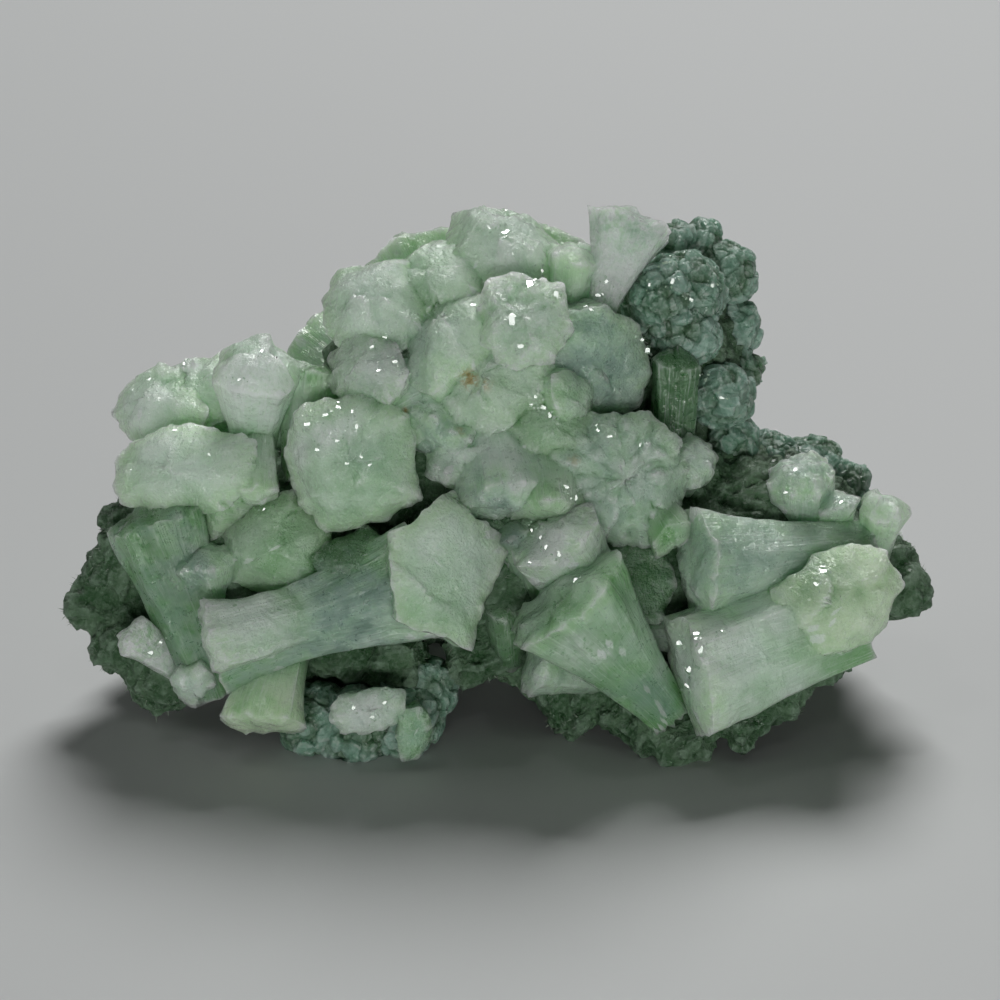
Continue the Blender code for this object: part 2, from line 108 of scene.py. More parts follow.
# The upper mass, from the western fans round the crown to the rosette at the middle of the front
CROWN = (
    front((-3, 14, -5), (-6.4, 21.8, 6.0), 9.6, 9.6, 0.5, 2.8, 10, 9),
    front((-1.2, 16, -6), (0.0, 25.5, 4.4), 11.6, 10.4, 0.5, 3.2, -8, 9),
    front((-9.2, 12.6, -4), (-12.4, 19.6, 7.4), 9.8, 10.6, 0.55, 3.2, 0, 9),
    front((-8.6, 9, 1), (-13.2, 12.6, 8.8), 7.4, 9.4, 0.6, 1.4, -8, 8, tone="frost"),
    front((3, 14, 1), (2.2, 17.2, 11.6), 9.2, 9.8, 0.6, 1.4, 20, 7, tone="frost"),
    front((9.2, 16.8, 4.4), (12.4, 26.6, 3.2), 8.6, 5.4, 0.28, 0.9, 8, 9, tone="white"),
    front((6, 15, 1), (7.2, 23.6, 3.6), 6.2, 5.6, 0.6, 1.0, 0, 7),
    front((5, 16, -3), (9.4, 12.2, 7.4), 10.6, 12.0, 0.75, 1.4, -20, 8, tone="smoky"),
    front((15.8, 4, 0), (16.4, 13.8, 3.6), 5.0, 4.8, 0.8, 1.0, 0, 7, tone="deep"),
    front((-2, 11, 2), (7.2, 9.2, 9.0), 6.6, 5.4, 0.6, 0.8, 15, 7),
    front((1, 8, -3), (-1.8, 11.6, 10.2), 13, 10.5, 0.7, 2.4, 25, 9, tone="ochre"),
    front((0, 14, 4), (-12.4, 7.8, 7.0), 7.6, 6.5, 0.8, 1.0, 0, 7, tone="streaky"),
    front((-2, 12, 2), (-6.4, 4.4, 8.0), 8.4, 6.5, 0.75, 1.2, 0, 7, tone="smoky"),
    front((-1.5, 10, 4), (1.0, -1.2, 9.6), 9.2, 7, 0.72, 1.2, 0, 8, tone="grey"),
    front((3, 9, 4), (4.8, -2.0, 9.6), 6.4, 5.4, 0.7, 1.0, 0, 7, tone="green"),
    front((9.5, 3, -3), (11.6, 2.0, 10), 12.8, 13.2, 0.6, 3.0, 12, 11, tone="rosette"),
    front((13, 2, 4), (16.2, -4.2, 8.6), 4.8, 3.8, 0.6, 0.5, 0, 6, tone="green"),
    front((16, 0, -2), (18.0, 4.2, 6.0), 4.6, 5.8, 0.8, 1.4, 0, 8, tone="grey"),
    front((-27, 5, -7), (-32.6, 9.2, 1.8), 8.6, 10.4, 0.5, 2.0, 0, 9),
    front((-25, 6, -7), (-28.4, 11.0, 1.4), 8.6, 8.6, 0.5, 2.0, 10, 8),
    front((-22.8, 3.5, 0), (-22.4, 14.0, 7.8), 8.0, 8.0, 0.46, 2.4, 0, 9, tone="smooth"),
    front((-22.6, 7, 3), (-22.8, 0.0, 7.0), 5.2, 3.8, 0.66, 0.5, 0, 6),
    front((-18, 2, 2), (-17.2, 12.8, 3.8), 7.0, 6.4, 0.7, 0.9, 0, 7, tone="green"),
    front((-25.4, 0.8, -5), (-30.4, 3.2, 8.0), 13.8, 9.0, 0.5, 2.4, 0, 9),
    front((-18, -2, 1), (-27.4, 0.0, 5.6), 7, 5, 0.7, 1.0, -6, 8, tone="green"),
    front((-11.8, 4.4, -2), (-14.3, 3.4, 12), 12.2, 12.2, 0.62, 3.4, 22, 10, tone="pale"),
    front((0, 8, 0), (-5.4, 16.8, 8.6), 12.0, 9.6, 0.6, 2.6, 10, 9),
    front((-4, 5, 1), (-8.4, 9.6, 8.4), 8.6, 7.4, 0.7, 1.8, 0, 8, tone="streaky"),
    front((-2, 3, 1), (-3.4, 4.8, 9.2), 8.0, 7.4, 0.7, 1.4, 12, 8, tone="frost"),
    front((4, 6, 1), (4.8, 7.4, 9.6), 8.0, 7.0, 0.7, 1.4, 0, 8, tone="green"),
    placed((-3, 4, 32), (-9, 15, 40), 11, 9, 0.45, 2.0, 10, 8),
    placed((2, 4, 32), (5, 16, 40.5), 11.5, 9, 0.45, 2.2, 0, 8),
    placed((-1, 4, 30), (-2.5, 18, 33), 11.5, 10, 0.45, 2.0, 15, 9),
    placed((-9, 3, 28), (-18, 14, 31), 11, 8.5, 0.5, 2.0, 0, 8),
    placed((-21, 3, 24), (-29, 12, 25), 9.5, 8, 0.5, 1.6, 0, 8),
    placed((3, 5, 31), (13, 14, 35), 8.5, 7, 0.5, 1.1, 0, 7, tone="green"),
    placed((-10, 4, 26), (-12, 16.5, 25), 8.5, 7.5, 0.6, 1.1, 0, 8),
)

# The lower left: a long bow-tie lying across the front, and the fans behind and under it
WEST = (
    front((-19, -4, -2), (-21.4, -4.8, 8.6), 11.4, 10.0, 0.7, 3.0, 10, 9, tone="green"),
    front((-25.6, -18.0, 3), (-32.4, -0.4, 5), 9.6, 6.8, 0.6, 1.2, -6, 8, tone="dusky"),
    front((-25.5, -12, 2), (-27.6, -4.6, 6.8), 6.0, 5.2, 0.7, 1.2, 0, 7, tone="grey"),
    front((-26.0, -14.2, 6.6), (-6, -7.2, 8.6), 11, 9, 0.62, 1.2, 0, 8, 0.35, 0.35, tone="smoky"),
    front((-15, -9.8, 7), (-27.4, -13.2, 10), 7.2, 5.0, 0.75, 0.9, 8, 7, tone="frost"),
    front((-9.0, -8.4, 1), (-4.7, -6.6, 13), 11.6, 13.2, 0.66, 1.1, -27, 5, tone="smooth"),
    front((-20.5, -14.5, 5), (-22.4, -21.6, 8), 7.4, 5, 0.72, 0.8, 6, 7, tone="warm"),
    front((-11, -9, -1), (-13.2, -5.4, 10.0), 8.4, 6.5, 0.7, 1.2, 0, 7, tone="deep"),
    placed((-20, 0, 14), (-34.5, 7.5, 16), 8.5, 7.5, 0.5, 1.4, 0, 8),
)

# The bow-tie that points down to the right at the middle of the front
MIDDLE_FAN = (
    front((15.9, -20.0, 6), (5.4, -8.2, 12), 13.4, 8.6, 0.36, 1.2, 0, 9, tone="fan"),
    front((10, -11, 3), (4.8, -2.6, 11), 8.8, 6.8, 0.7, 0.9, 0, 8, tone="frost"),
    front((4.4, -11, 4), (0.9, -2.2, 8.6), 3.8, 4.4, 0.7, 0.6, 0, 6, tone="dusky"),
    front((10, -16, 3), (3.2, -14.2, 8), 7.6, 4.2, 0.6, 0.7, 0, 7, tone="grey"),
    front((12, -9, -4), (11.8, -6.8, 7.2), 9.6, 8.4, 0.8, 1.4, 0, 8, tone="deep"),
    front((12, -12, 3), (18.0, -12.6, 5.6), 3.6, 3.6, 0.8, 0.5, 0, 6, tone="smoky"),
)

# The right: a pale slab in front, a smoky fan behind it, and small crystals along the top
EAST = (
    front((34, -4.2, 3), (17.4, -6.4, 8.6), 10.6, 8.0, 0.46, 1.0, -4, 8, tone="streaky"),
    front((32.6, -10.2, 5), (17.0, -16.2, 10.4), 10.6, 7.6, 0.85, 0.6, 4, 8, tone="smooth"),
    front((29, -9, -2), (31.8, -9.8, 11), 12.6, 10.0, 0.72, 2.2, 24, 9, tone="warm"),
    front((28, -6, -2), (27.9, 3.2, 4.6), 6.2, 5.8, 0.75, 1.4, 0, 8, tone="grey"),
    front((30.5, -5, 0), (31.6, 0.4, 4.6), 4.2, 4.0, 0.8, 0.8, 0, 7, tone="grey"),
    front((34.4, -7.6, 0), (35.7, 0.6, 4.6), 5.2, 5.0, 0.55, 1.6, 0, 8, 0.3, 0.5),
    front((24.2, -4, -2), (23.8, 1.4, 2.4), 4.2, 3.8, 0.8, 0.9, 0, 7, tone="grey"),
    placed((29, -1, 12), (36.5, 7, 14.5), 8.0, 7, 0.5, 1.4, 0, 8),
)

# Small crystals that stand alone on the dark rock, on its left, at its front foot and under its middle
WEST_SMALL = (
    front((-29.4, -15.6, 2), (-34.6, -12.4, 5.4), 3.6, 3.2, 0.8, 0.5, 0, 7, tone="white"),
    front((-28, -14.4, 1), (-28.6, -17.7, 6), 4.4, 4.2, 0.75, 0.9, 10, 8, tone="grey"),
)
FOOT_SMALL = (
    front((-12, -19.0, 3), (-12.4, -19.6, 9.4), 7.4, 4.6, 0.75, 0.7, 6, 7, tone="grey"),
    front((-8.6, -19.4, 2), (-8.0, -22.0, 8.4), 3.6, 5.4, 0.75, 0.7, 0, 7, tone="dusky"),
)
KEEL_SMALL = (
    front((1.0, -15, 1), (0.4, -9.6, 5.4), 3.8, 3.4, 0.8, 0.6, 0, 7, tone="olive"),
)

# The back, below the crown
BACK = (
    placed((0, 6, 17), (-3, 20, 21), 12, 9.5, 0.5, 2.0, 0, 9),
    placed((-2, 6, 15), (-13, 17.5, 15), 11, 9, 0.5, 2.0, 0, 8, tone="green"),
    placed((2, 6, 15), (9, 18.5, 16), 11, 9, 0.5, 2.0, 12, 8),
    placed((0, 6, 13), (1, 19, 9), 9.5, 8, 0.6, 1.4, 0, 8),
    placed((6, 6, 15), (20, 15, 19), 10.5, 8.5, 0.5, 1.6, 0, 8),
    placed((-4, 6, 14), (-21, 15.5, 11), 8.5, 7.5, 0.5, 1.4, 0, 8, tone="green"),
    placed((8, 6, 15), (12, 18, 23.5), 7.5, 6.5, 0.55, 1.0, 0, 7),
)

# The rock: its hidden core, then the lumps that show, then the dark blades of its keel
CORE = (
    placed_lump((-19, 2, 13), (16, 12, 11)),
    placed_lump((0, 3, 18), (16, 12.5, 15)),
    placed_lump((20, 3, 14), (15, 11.5, 10)),
    placed_lump((15, 10, 28), (8, 7, 11)),
    placed_lump((-5, 4, 30), (11, 8, 9)),
    placed_lump((33, -1, 13), (5, 5, 5)),
)
LUMPS = (
    front_lump(15.2, 18.6, 1.0, 3.9),
    front_lump(17.4, 19.4, 0.6, 3.6),
    front_lump(17.2, 15.6, 1.0, 3.3),
    front_lump(16.2, 23.8, -4, 2.2),
    front_lump(18.6, 23.9, -5, 2.2),
    front_lump(20.8, 20.8, -5, 3.3),
    front_lump(21.8, 16.2, -6, 2.6),
    front_lump(22.6, 12.2, -6, 2.1),
    front_lump(20.4, 9.6, -1, 3.2),
    front_lump(21.4, 5.0, -3, 3.0),
    front_lump(25.0, 2.6, -5, 3.6),
    front_lump(28.4, 2.6, -6, 3.6),
    front_lump(31.8, 1.2, -6, 2.8),
    front_lump(36.6, -5.4, -1, 2.1),
    front_lump(37.4, -8.4, 0, 2.6),
    front_lump(-37.4, -9.5, -2, 3.0),
    front_lump(-35.4, -6.6, -1, 3.2),
    front_lump(-32.8, -3.4, -1, 4.4),
    front_lump(-34.4, -12.6, -2, 3.8),
    front_lump(-31.4, -15.6, -2, 4.2),
    front_lump(-17.0, -20.6, 2, 3.8),
    front_lump(-13.0, -21.0, 2.6, 3.9),
    front_lump(-9.0, -20.2, 2.6, 3.9),
    front_lump(-6.8, -17.4, 2, 2.9),
    placed_lump((-22, 11, 4.5), (7, 6, 6)),
    placed_lump((18, 12, 4.5), (7, 6, 6)),
    placed_lump((-31, 5, 8), (6, 5, 5)),
    placed_lump((30, 7, 9), (6, 5, 5)),
    placed_lump((-25, 11, 17), (5.5, 4.5, 4)),
    placed_lump((13, 15, 29.5), (5, 4, 4)),
    placed_lump((18, 13.5, 25), (4, 4, 3.6)),
    placed_lump((18, 13, 34), (4, 4, 4.5)),
    placed_lump((26.5, 10, 16), (4.5, 4.5, 4)),
    placed_lump((1, 13.5, 26), (6, 4.5, 3.6)),
    placed_lump((-16, 13.5, 20), (5, 4, 3.6)),
    placed_lump((-7, 13, 6), (6.5, 5.5, 5.5)),
)
BLADES = (
    front((-2, -11, -1), (9.6, -20.4, 1.6), 6.5, 5, 0.75, 1.0, 0, 7),
    front((4, -14, 0), (15.4, -22.4, 4.6), 6.0, 5.5, 0.8, 1.0, 20, 7),
    front((12, -14, 0), (18.4, -24.6, 5.6), 7.0, 5.5, 0.7, 1.2, 0, 7),
    front((8, -15, -1), (-5, -14.0, 2.0), 6.0, 4.5, 0.75, 0.8, 10, 7),
    front((32, -13.5, 3), (20.6, -21.8, 6.0), 4.6, 4.4, 0.8, 0.8, 0, 7),
    front((-16, -14, 2), (-7.0, -15.6, 3.0), 6.0, 5.0, 0.8, 0.8, 0, 7),
)

# The lumps that are grey-green rosettes, by their places in CORE + LUMPS
ROSETTES = [*range(6, 19), *range(26, 30)]


# Repeatable noise on arrays of points

def lattice(i, j, k, seed):
    """A repeatable number from 0 to 1 for each whole-number point."""
    mixed = (
        i.astype(np.uint32) * np.uint32(374761393)
        + j.astype(np.uint32) * np.uint32(668265263)
        + k.astype(np.uint32) * np.uint32(2246822519)
        + np.uint32(seed * 40503 % 4294967296)
    )
    mixed = (mixed ^ (mixed >> np.uint32(15))) * np.uint32(2246822519)
    mixed = (mixed ^ (mixed >> np.uint32(13))) * np.uint32(3266489917)
    mixed = mixed ^ (mixed >> np.uint32(16))
    return (mixed & np.uint32(0xFFFFFF)) / float(0xFFFFFF)


def waves(points, seed):
    """Smooth noise from -1 to 1 with a wave about every unit."""
    low = np.floor(points).astype(np.int64)
    f = points - low
    f = f * f * (3 - 2 * f)
    total = 0
    for dx in (0, 1):
        wx = f[:, 0] if dx else 1 - f[:, 0]
        for dy in (0, 1):
            wy = f[:, 1] if dy else 1 - f[:, 1]
            for dz in (0, 1):
                wz = f[:, 2] if dz else 1 - f[:, 2]
                total = total + wx * wy * wz * lattice(low[:, 0] + dx, low[:, 1] + dy, low[:, 2] + dz, seed)
    return 2 * total - 1


def rough(points, seed, octaves=3):
    """Noise from about -1 to 1 with detail at several sizes."""
    total = 0
    for k in range(octaves):
        total = total + waves(points * 2.03 ** k + 17.7 * k, seed + k) * 0.55 ** k
    return total


def cells(points, seed, jitter=0.9):
    """Each point's own cell: how far it is from the cell's edge, the way from the cell's centre, and its luck."""
    low = np.floor(points).astype(np.int64)
    best = np.full(len(points), 9.0)
    second = best.copy()
    centre = np.zeros_like(points)
    luck = np.zeros(len(points))
    for dx in (-1, 0, 1):
        for dy in (-1, 0, 1):
            for dz in (-1, 0, 1):
                i, j, k = low[:, 0] + dx, low[:, 1] + dy, low[:, 2] + dz
                stray = np.stack([lattice(i, j, k, seed + s) for s in range(3)], axis=1) - 0.5
                spot = np.stack([i, j, k], axis=1) + 0.5 + jitter * stray
                far = np.linalg.norm(points - spot, axis=1)
                nearer = far < best
                second = np.where(nearer, best, np.minimum(second, far))
                best = np.where(nearer, far, best)
                centre[nearer] = spot[nearer]
                luck[nearer] = lattice(i, j, k, seed + 3)[nearer]
    return second - best, points - centre, luck


def tilted(away, luck, steepness):
    """The height of a block's end at this way from its centre, each block leaning its own way."""
    lean = luck * 61.7
    flat = away[:, 0] * np.cos(lean) + away[:, 1] * np.sin(lean)
    return steepness * (flat + 0.4 * away[:, 2] * np.cos(lean * 1.7))


# Crystals

def section(crystal, seed):
    """The crystal's corners round its section, as (across, through) with the width and the thickness as 1."""
    chance = random.Random(seed)
    corners = []
    for k in range(crystal.corners):
        angle = math.tau * (k + 0.5) / crystal.corners + chance.uniform(-CORNER_SHIFT, CORNER_SHIFT)
        c = math.cos(angle)
        s = math.sin(angle)
        reach = (abs(c) ** SIDE_POWER + abs(s) ** SIDE_POWER) ** (-1 / SIDE_POWER)
        reach *= 1 + chance.uniform(-CORNER_REACH, CORNER_REACH)
        corners.append((c * reach / 2, s * reach / 2))
    return corners


def axes(crystal):
    """The crystal's own directions: along its axis, across its width and through its thickness."""
    along = (crystal.head - crystal.foot).normalized()
    to_eye = seen(0, 0, 1) - seen(0, 0, 0)
    across = along.cross(to_eye)
    if across.length < 0.45:
        across = Vector((1, 0, 0)) - along * along.x
    across.normalize()
    through = along.cross(across)
    turn = math.radians(crystal.turn)
    return (
        along,
        across * math.cos(turn) + through * math.sin(turn),
        through * math.cos(turn) - across * math.sin(turn),
    )


def girth(crystal, share):
    """The crystal's size at this share of the way from foot to rim, where 1 is its size at the rim."""
    if share < crystal.waist_at:
        open_ = crystal.foot_flare * ((crystal.waist_at - share) / crystal.waist_at) ** FLARE
    else:
        open_ = ((share - crystal.waist_at) / (1 - crystal.waist_at)) ** FLARE
    return crystal.waist + (1 - crystal.waist) * open_


# How each kind of crystal is made up: the size of the blocks it is built of, how much their ends step and lean,
# how far they stand out at its sides, and what its colour holds of smoke, frost, depth and warmth
Tone = namedtuple("Tone", "block step lean bulge smoke frost deep warm")
TONES = {
    "smooth": Tone(2.8, 0.08, 0.04, 0.06, 0.06, 0.10, 0.04, 0.04),
    "pale": Tone(1.5, 0.16, 0.10, 0.10, 0.06, 0.12, 0.06, 0.05),
    "green": Tone(1.7, 0.15, 0.10, 0.10, 0.05, 0.02, 0.42, 0.10),
    "fan": Tone(1.5, 0.20, 0.12, 0.14, 0.18, 0.00, 0.30, 0.00),
    "deep": Tone(1.8, 0.16, 0.10, 0.10, 0.10, 0.00, 1.00, 0.00),
    "dusky": Tone(1.5, 0.16, 0.12, 0.10, 0.50, 0.00, 0.65, 0.00),
    "smoky": Tone(1.9, 0.14, 0.08, 0.08, 0.70, 0.04, 0.12, 0.00),
    "streaky": Tone(1.2, 0.20, 0.14, 0.12, 0.40, 0.15, 0.10, 0.00),
    "grey": Tone(1.0, 0.26, 0.20, 0.14, 0.50, 0.25, 0.12, 0.00),
    "frost": Tone(1.1, 0.30, 0.22, 0.16, 0.10, 0.40, 0.12, 0.05),
    "white": Tone(1.0, 0.22, 0.18, 0.14, 0.15, 0.80, 0.00, 0.00),
    "rosette": Tone(1.25, 0.55, 0.34, 0.24, 0.45, 0.15, 0.22, 0.00),
    "ochre": Tone(1.3, 0.32, 0.24, 0.20, 0.12, 0.15, 0.25, 0.15),
    "warm": Tone(1.9, 0.15, 0.10, 0.10, 0.00, 0.12, 0.08, 0.45),
    "olive": Tone(1.2, 0.20, 0.14, 0.12, 0.20, 0.10, 0.80, 0.50),
}


Surface = namedtuple("Surface", "points faces grain buried rim tone")


def outline(crystal, seed):
    """Points round the crystal's rim, in mm across and through, with its corners among them."""
    sizes = np.array((crystal.wide, crystal.thick))
    corners = [np.array(corner) * sizes for corner in section(crystal, seed)]
    points = []
    for k, corner in enumerate(corners):
        side = corners[(k + 1) % len(corners)] - corner
        count = max(2, round(float(np.linalg.norm(side)) / EDGE))
        points += [corner + side * j / count for j in range(count)]
    points = np.array(points)
    for _ in range(ROUNDING):
        points = (np.roll(points, 1, axis=0) + 2 * points + np.roll(points, -1, axis=0)) / 4
    return points


def crystal_surface(crystal, seed):
    """The crystal with its blocks, ribs and ragged rim, as a closed surface."""
    tone = TONES[crystal.tone]
    along, across, through = (np.array(axis) for axis in axes(crystal))
    rim = (crystal.head - crystal.foot).length - crystal.dome
    round_ = outline(crystal, seed)
    count = len(round_)
    steps = max(6, round(rim / EDGE))
    rings = max(4, round(min(crystal.wide, crystal.thick) / 2 / EDGE))
    shares = np.concatenate([np.linspace(0, 1, steps + 1), np.ones(rings - 1)])
    spans = np.concatenate([np.ones(steps + 1), np.linspace(1, 0, rings + 1)[1:-1]])
    share = np.repeat(shares, count)
    span = np.repeat(spans, count)
    flat = np.tile(round_, (len(shares), 1)) * span[:, None]
    # the foot's middle and the cap's top close the two ends
    share = np.concatenate([share, [0.0, 1.0]])
    span = np.concatenate([span, [0.0, 0.0]])
    flat = np.concatenate([flat, np.zeros((2, 2))])
    size = np.array([girth(crystal, value) for value in share])

    spot = np.column_stack([flat / tone.block, share * rim / (tone.block * 3.2)])
    edge, away, luck = cells(spot, seed * 13 + 5)
    groove = np.exp(-edge / 0.16)
    _, wide_away, wide_luck = cells(spot * 0.4, seed * 13 + 9)
    step = tone.step * (luck - 0.5) * 1.6 + tilted(away * tone.block, luck, tone.lean) - 0.25 * tone.step * groove
    step += tilted(wide_away * tone.block * 2.5, wide_luck, 0.14)
    step += 0.06 * rough(np.column_stack([flat / 0.8, share]), seed + 31)
    dome = crystal.dome * (1 - span ** 2.3)
    ragged = 0.40 * waves(np.column_stack([flat / 2.6, share * 0]), seed + 57)
    distance = share * rim + np.where(span < 1, 1, share ** 5) * (step + ragged) + dome
    broken = 0.5 * waves(np.column_stack([flat / 1.3, share]), seed + 61) - 0.7 * (span == 0)
    distance += np.where(share < 0.5, (1 - share) ** 8, 0) * broken

    ribs = 0.10 * waves(np.column_stack([flat / 0.9, share * rim / 7]), seed + 3)
    ribs += 0.04 * waves(np.column_stack([flat / 0.42, share * rim / 4]), seed + 4)
    swell = tone.bulge * (luck - 0.5) * 1.8 - 0.3 * tone.step * groove
    swell += 0.45 * waves(np.column_stack([flat / 2.4, share * rim / 4]), seed + 9)
    swell += 0.22 * waves(np.column_stack([flat / 1.1, share * rim / 1.6]), seed + 10)
    jagged = 0.16 * waves(np.column_stack([flat / 0.6, share * rim / 1.4]), seed + 71) * share ** 2
    side = (0.25 + 0.75 * share) * (ribs + swell * share) + jagged
    reach = np.linalg.norm(flat, axis=1) + 1e-6
    scale = size + span ** 6 * side / np.maximum(reach, 0.5)
    place = np.array(crystal.foot) + along * distance[:, None]
    place = place + across * (flat[:, 0] * scale)[:, None] + through * (flat[:, 1] * scale)[:, None]

    faces = []
    rows = len(shares)
    for row in range(rows - 1):
        for k in range(count):
            after = (k + 1) % count
            a = row * count
            faces.append((a + k, a + after, a + count + after, a + count + k))
    last = (rows - 1) * count
    for k in range(count):
        after = (k + 1) % count
        faces.append((after, k, rows * count))
        faces.append((last + k, last + after, rows * count + 1))
    grain = np.column_stack([flat, distance])
    # The share of the way down toward the crystal's foot, where the material paints a darker green as painted
    # shade
    buried = 1 - share
    inside = (1 - span) * min(crystal.wide, crystal.thick) / 2
    on_rim = np.exp(-(((1 - share) * rim / 2.2) ** 2) - (inside / 1.5) ** 2)
    kind = np.tile((tone.smoke, tone.frost, tone.deep, tone.warm), (len(share), 1))
    return Surface(place, faces, grain, buried, on_rim, kind)


def plain_mesh(points, faces):
    mesh = bpy.data.meshes.new("solid")
    mesh.from_pydata(points.tolist(), [], faces)
    bm = bmesh.new()
    bm.from_mesh(mesh)
    bmesh.ops.recalc_face_normals(bm, faces=bm.faces)
    bm.to_mesh(mesh)
    bm.free()
    return mesh


def joined(mesh, other, operation="UNION"):
    """The two meshes as one solid, by the fast solver, since all of them are closed."""
    objects = []
    for data in (mesh, other):
        obj = bpy.data.objects.new("solid", data)
        bpy.context.scene.collection.objects.link(obj)
        objects.append(obj)
    boolean = objects[0].modifiers.new("boolean", "BOOLEAN")
    boolean.operation = operation
    boolean.solver = "MANIFOLD"
    boolean.object = objects[1]
    graph = bpy.context.evaluated_depsgraph_get()
    result = bpy.data.meshes.new_from_object(objects[0].evaluated_get(graph))
    for obj in objects:
        bpy.data.objects.remove(obj)
    return result


def fused(meshes):
    while len(meshes) > 1:
        pairs = [joined(a, b) for a, b in zip(meshes[::2], meshes[1::2])]
        if len(meshes) % 2:
            pairs.append(meshes[-1])
        meshes = pairs
    return meshes[0]


def grown_together(mesh, times):
    """Fills the creases where crystals meet: each point that lies below its neighbours rises toward them."""
    ends = np.zeros(len(mesh.edges) * 2, dtype=np.int32)
    mesh.edges.foreach_get("vertices", ends)
    first, second = ends.reshape(-1, 2).T
    points = positions(mesh)
    count = len(points)
    near = np.bincount(first, minlength=count) + np.bincount(second, minlength=count)
    for _ in range(times):
        middle = np.column_stack([
            (np.bincount(first, axis[second], count) + np.bincount(second, axis[first], count)) / near
            for axis in points.T
        ])
        out = normals(mesh)
        rise = np.maximum(np.einsum("ij,ij->i", middle - points, out), 0)
        points = points + out * rise[:, None] * 0.9
        mesh.vertices.foreach_set("co", points.ravel())
        mesh.update()


def positions(mesh):
    points = np.zeros(len(mesh.vertices) * 3)
    mesh.vertices.foreach_get("co", points)
    return points.reshape(-1, 3)


def blurred(mesh, values, times):
    """The values at the mesh's points, each shared out among its neighbours this many times."""
    ends = np.zeros(len(mesh.edges) * 2, dtype=np.int32)
    mesh.edges.foreach_get("vertices", ends)
    first, second = ends.reshape(-1, 2).T
    count = len(values)
    share = 1 + np.bincount(first, minlength=count) + np.bincount(second, minlength=count)
    for _ in range(times):
        columns = []
        for column in values.T:
            shared = np.bincount(first, column[second], count) + np.bincount(second, column[first], count)
            columns.append((column + shared) / share)
        values = np.column_stack(columns)
    return values


def tagged(mesh, surfaces):
    """Gives each point of the fused mesh what the nearest point of its crystal knows, for the material."""
    known = np.concatenate([s.points for s in surfaces])
    grain = np.concatenate([s.grain for s in surfaces])
    buried = np.concatenate([s.buried for s in surfaces])
    rim = np.concatenate([s.rim for s in surfaces])
    tone = np.concatenate([s.tone for s in surfaces])
    tree = kdtree.KDTree(len(known))
    for k, point in enumerate(known):
        tree.insert(point, k)
    tree.balance()
    nearest = np.array([tree.find(point)[1] for point in positions(mesh)])
    tone = blurred(mesh, tone[nearest], 14)
    buried = blurred(mesh, buried[nearest][:, None], 4)
    for name, kind, key, values in (
        ("grain", "FLOAT_VECTOR", "vector", grain[nearest]),
        ("buried", "FLOAT", "value", buried),
        ("rim", "FLOAT", "value", rim[nearest]),
        ("tone", "FLOAT_COLOR", "color", tone),
    ):
        mesh.attributes.new(name, kind, "POINT").data.foreach_set(key, values.ravel())


def shown(name, mesh, finish, nodes, crease=48):
    """The finished piece: the mesh in metres, about the specimen's own origin, in place of its CAD nodes."""
    points = (positions(mesh) - np.array(MIDDLE)) * MM
    points[:, 2] = np.maximum(points[:, 2], 0)
    mesh.vertices.foreach_set("co", points.ravel())
    mesh.materials.clear()
    mesh.materials.append(finish)
    mesh.shade_smooth()
    mesh.set_sharp_from_angle(angle=math.radians(crease))
    mesh.update()
    obj = bpy.data.objects.new(name, mesh)
    bpy.context.scene.collection.objects.link(obj)
    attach(obj, "root")
    if nodes:
        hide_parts(*nodes)
    return obj


def cluster(name, order, crystals, finish, node):
    surfaces = [crystal_surface(crystal, order * 100 + k) for k, crystal in enumerate(crystals)]
    mesh = fused([plain_mesh(s.points, s.faces) for s in surfaces])
    tagged(mesh, surfaces)
    grown_together(mesh, GROWN_TIMES)
    return shown(name, mesh, finish, [node])


# Rock

LUMP_RELIEF = 0.16
LUMP_GRAIN = 1.3


def ball(lump, seed, divisions):
    """A closed lump, as the model's, as points and faces, with the direction that each point faces."""
    bm = bmesh.new()
    bmesh.ops.create_icosphere(bm, subdivisions=divisions, radius=1)
    offset = Vector((seed * 7.1, seed * 3.3, seed * 5.7))
    relief = np.array([1 + LUMP_RELIEF * noise.noise(v.co * LUMP_GRAIN + offset) for v in bm.verts])
    facing = np.array([v.co[:] for v in bm.verts])
    faces = [tuple(v.index for v in face.verts) for face in bm.faces]
    bm.free()
    points = np.array(lump.centre) + facing * np.array(lump.radii) * relief[:, None]
    return points, faces, facing


def rosette_surface(lump, seed, block=1.7):
    """A lump that is a ball of small crystals, each with its own flat leaning end."""
    divisions = 6
    if max(lump.radii) < SMALL_LUMP:
        divisions -= 1
    points, faces, facing = ball(lump, seed, divisions)
    core = facing * max(lump.radii) / block
    edge, away, luck = cells(core, seed * 7 + 1)
    rise = 0.35 * (luck - 0.5) + tilted(away * block, luck, 0.20) - 0.18 * np.exp(-edge / 0.12)
    rise += 0.12 * rough(core * 1.9, seed + 5)
    points = points + facing * rise[:, None]
    grain = core * block
    kind = np.tile((0.75, 0.22, 0.45, 0.0), (len(points), 1))
    # How far each point lies below its block's top, which the material darkens as painted shade
    return Surface(points, faces, grain, np.clip(0.5 - rise, 0, 1), np.exp(-edge / 0.2), kind)


def merged(parts):
    """One list of points and faces from several."""
    points = []
    faces = []
    start = 0
    for more_points, more_faces in parts:
        points.append(more_points)
        faces += [tuple(index + start for index in face) for face in more_faces]
        start += len(more_points)
    return np.concatenate(points), faces


def remeshed(mesh, size):
    obj = bpy.data.objects.new("solid", mesh)
    bpy.context.scene.collection.objects.link(obj)
    remesh = obj.modifiers.new("remesh", "REMESH")
    remesh.mode = "VOXEL"
    remesh.voxel_size = size
    graph = bpy.context.evaluated_depsgraph_get()
    result = bpy.data.meshes.new_from_object(obj.evaluated_get(graph))
    bpy.data.objects.remove(obj)
    return result


def normals(mesh):
    values = np.zeros(len(mesh.vertices) * 3)
    mesh.vertex_normals.foreach_get("vector", values)
    return values.reshape(-1, 3)


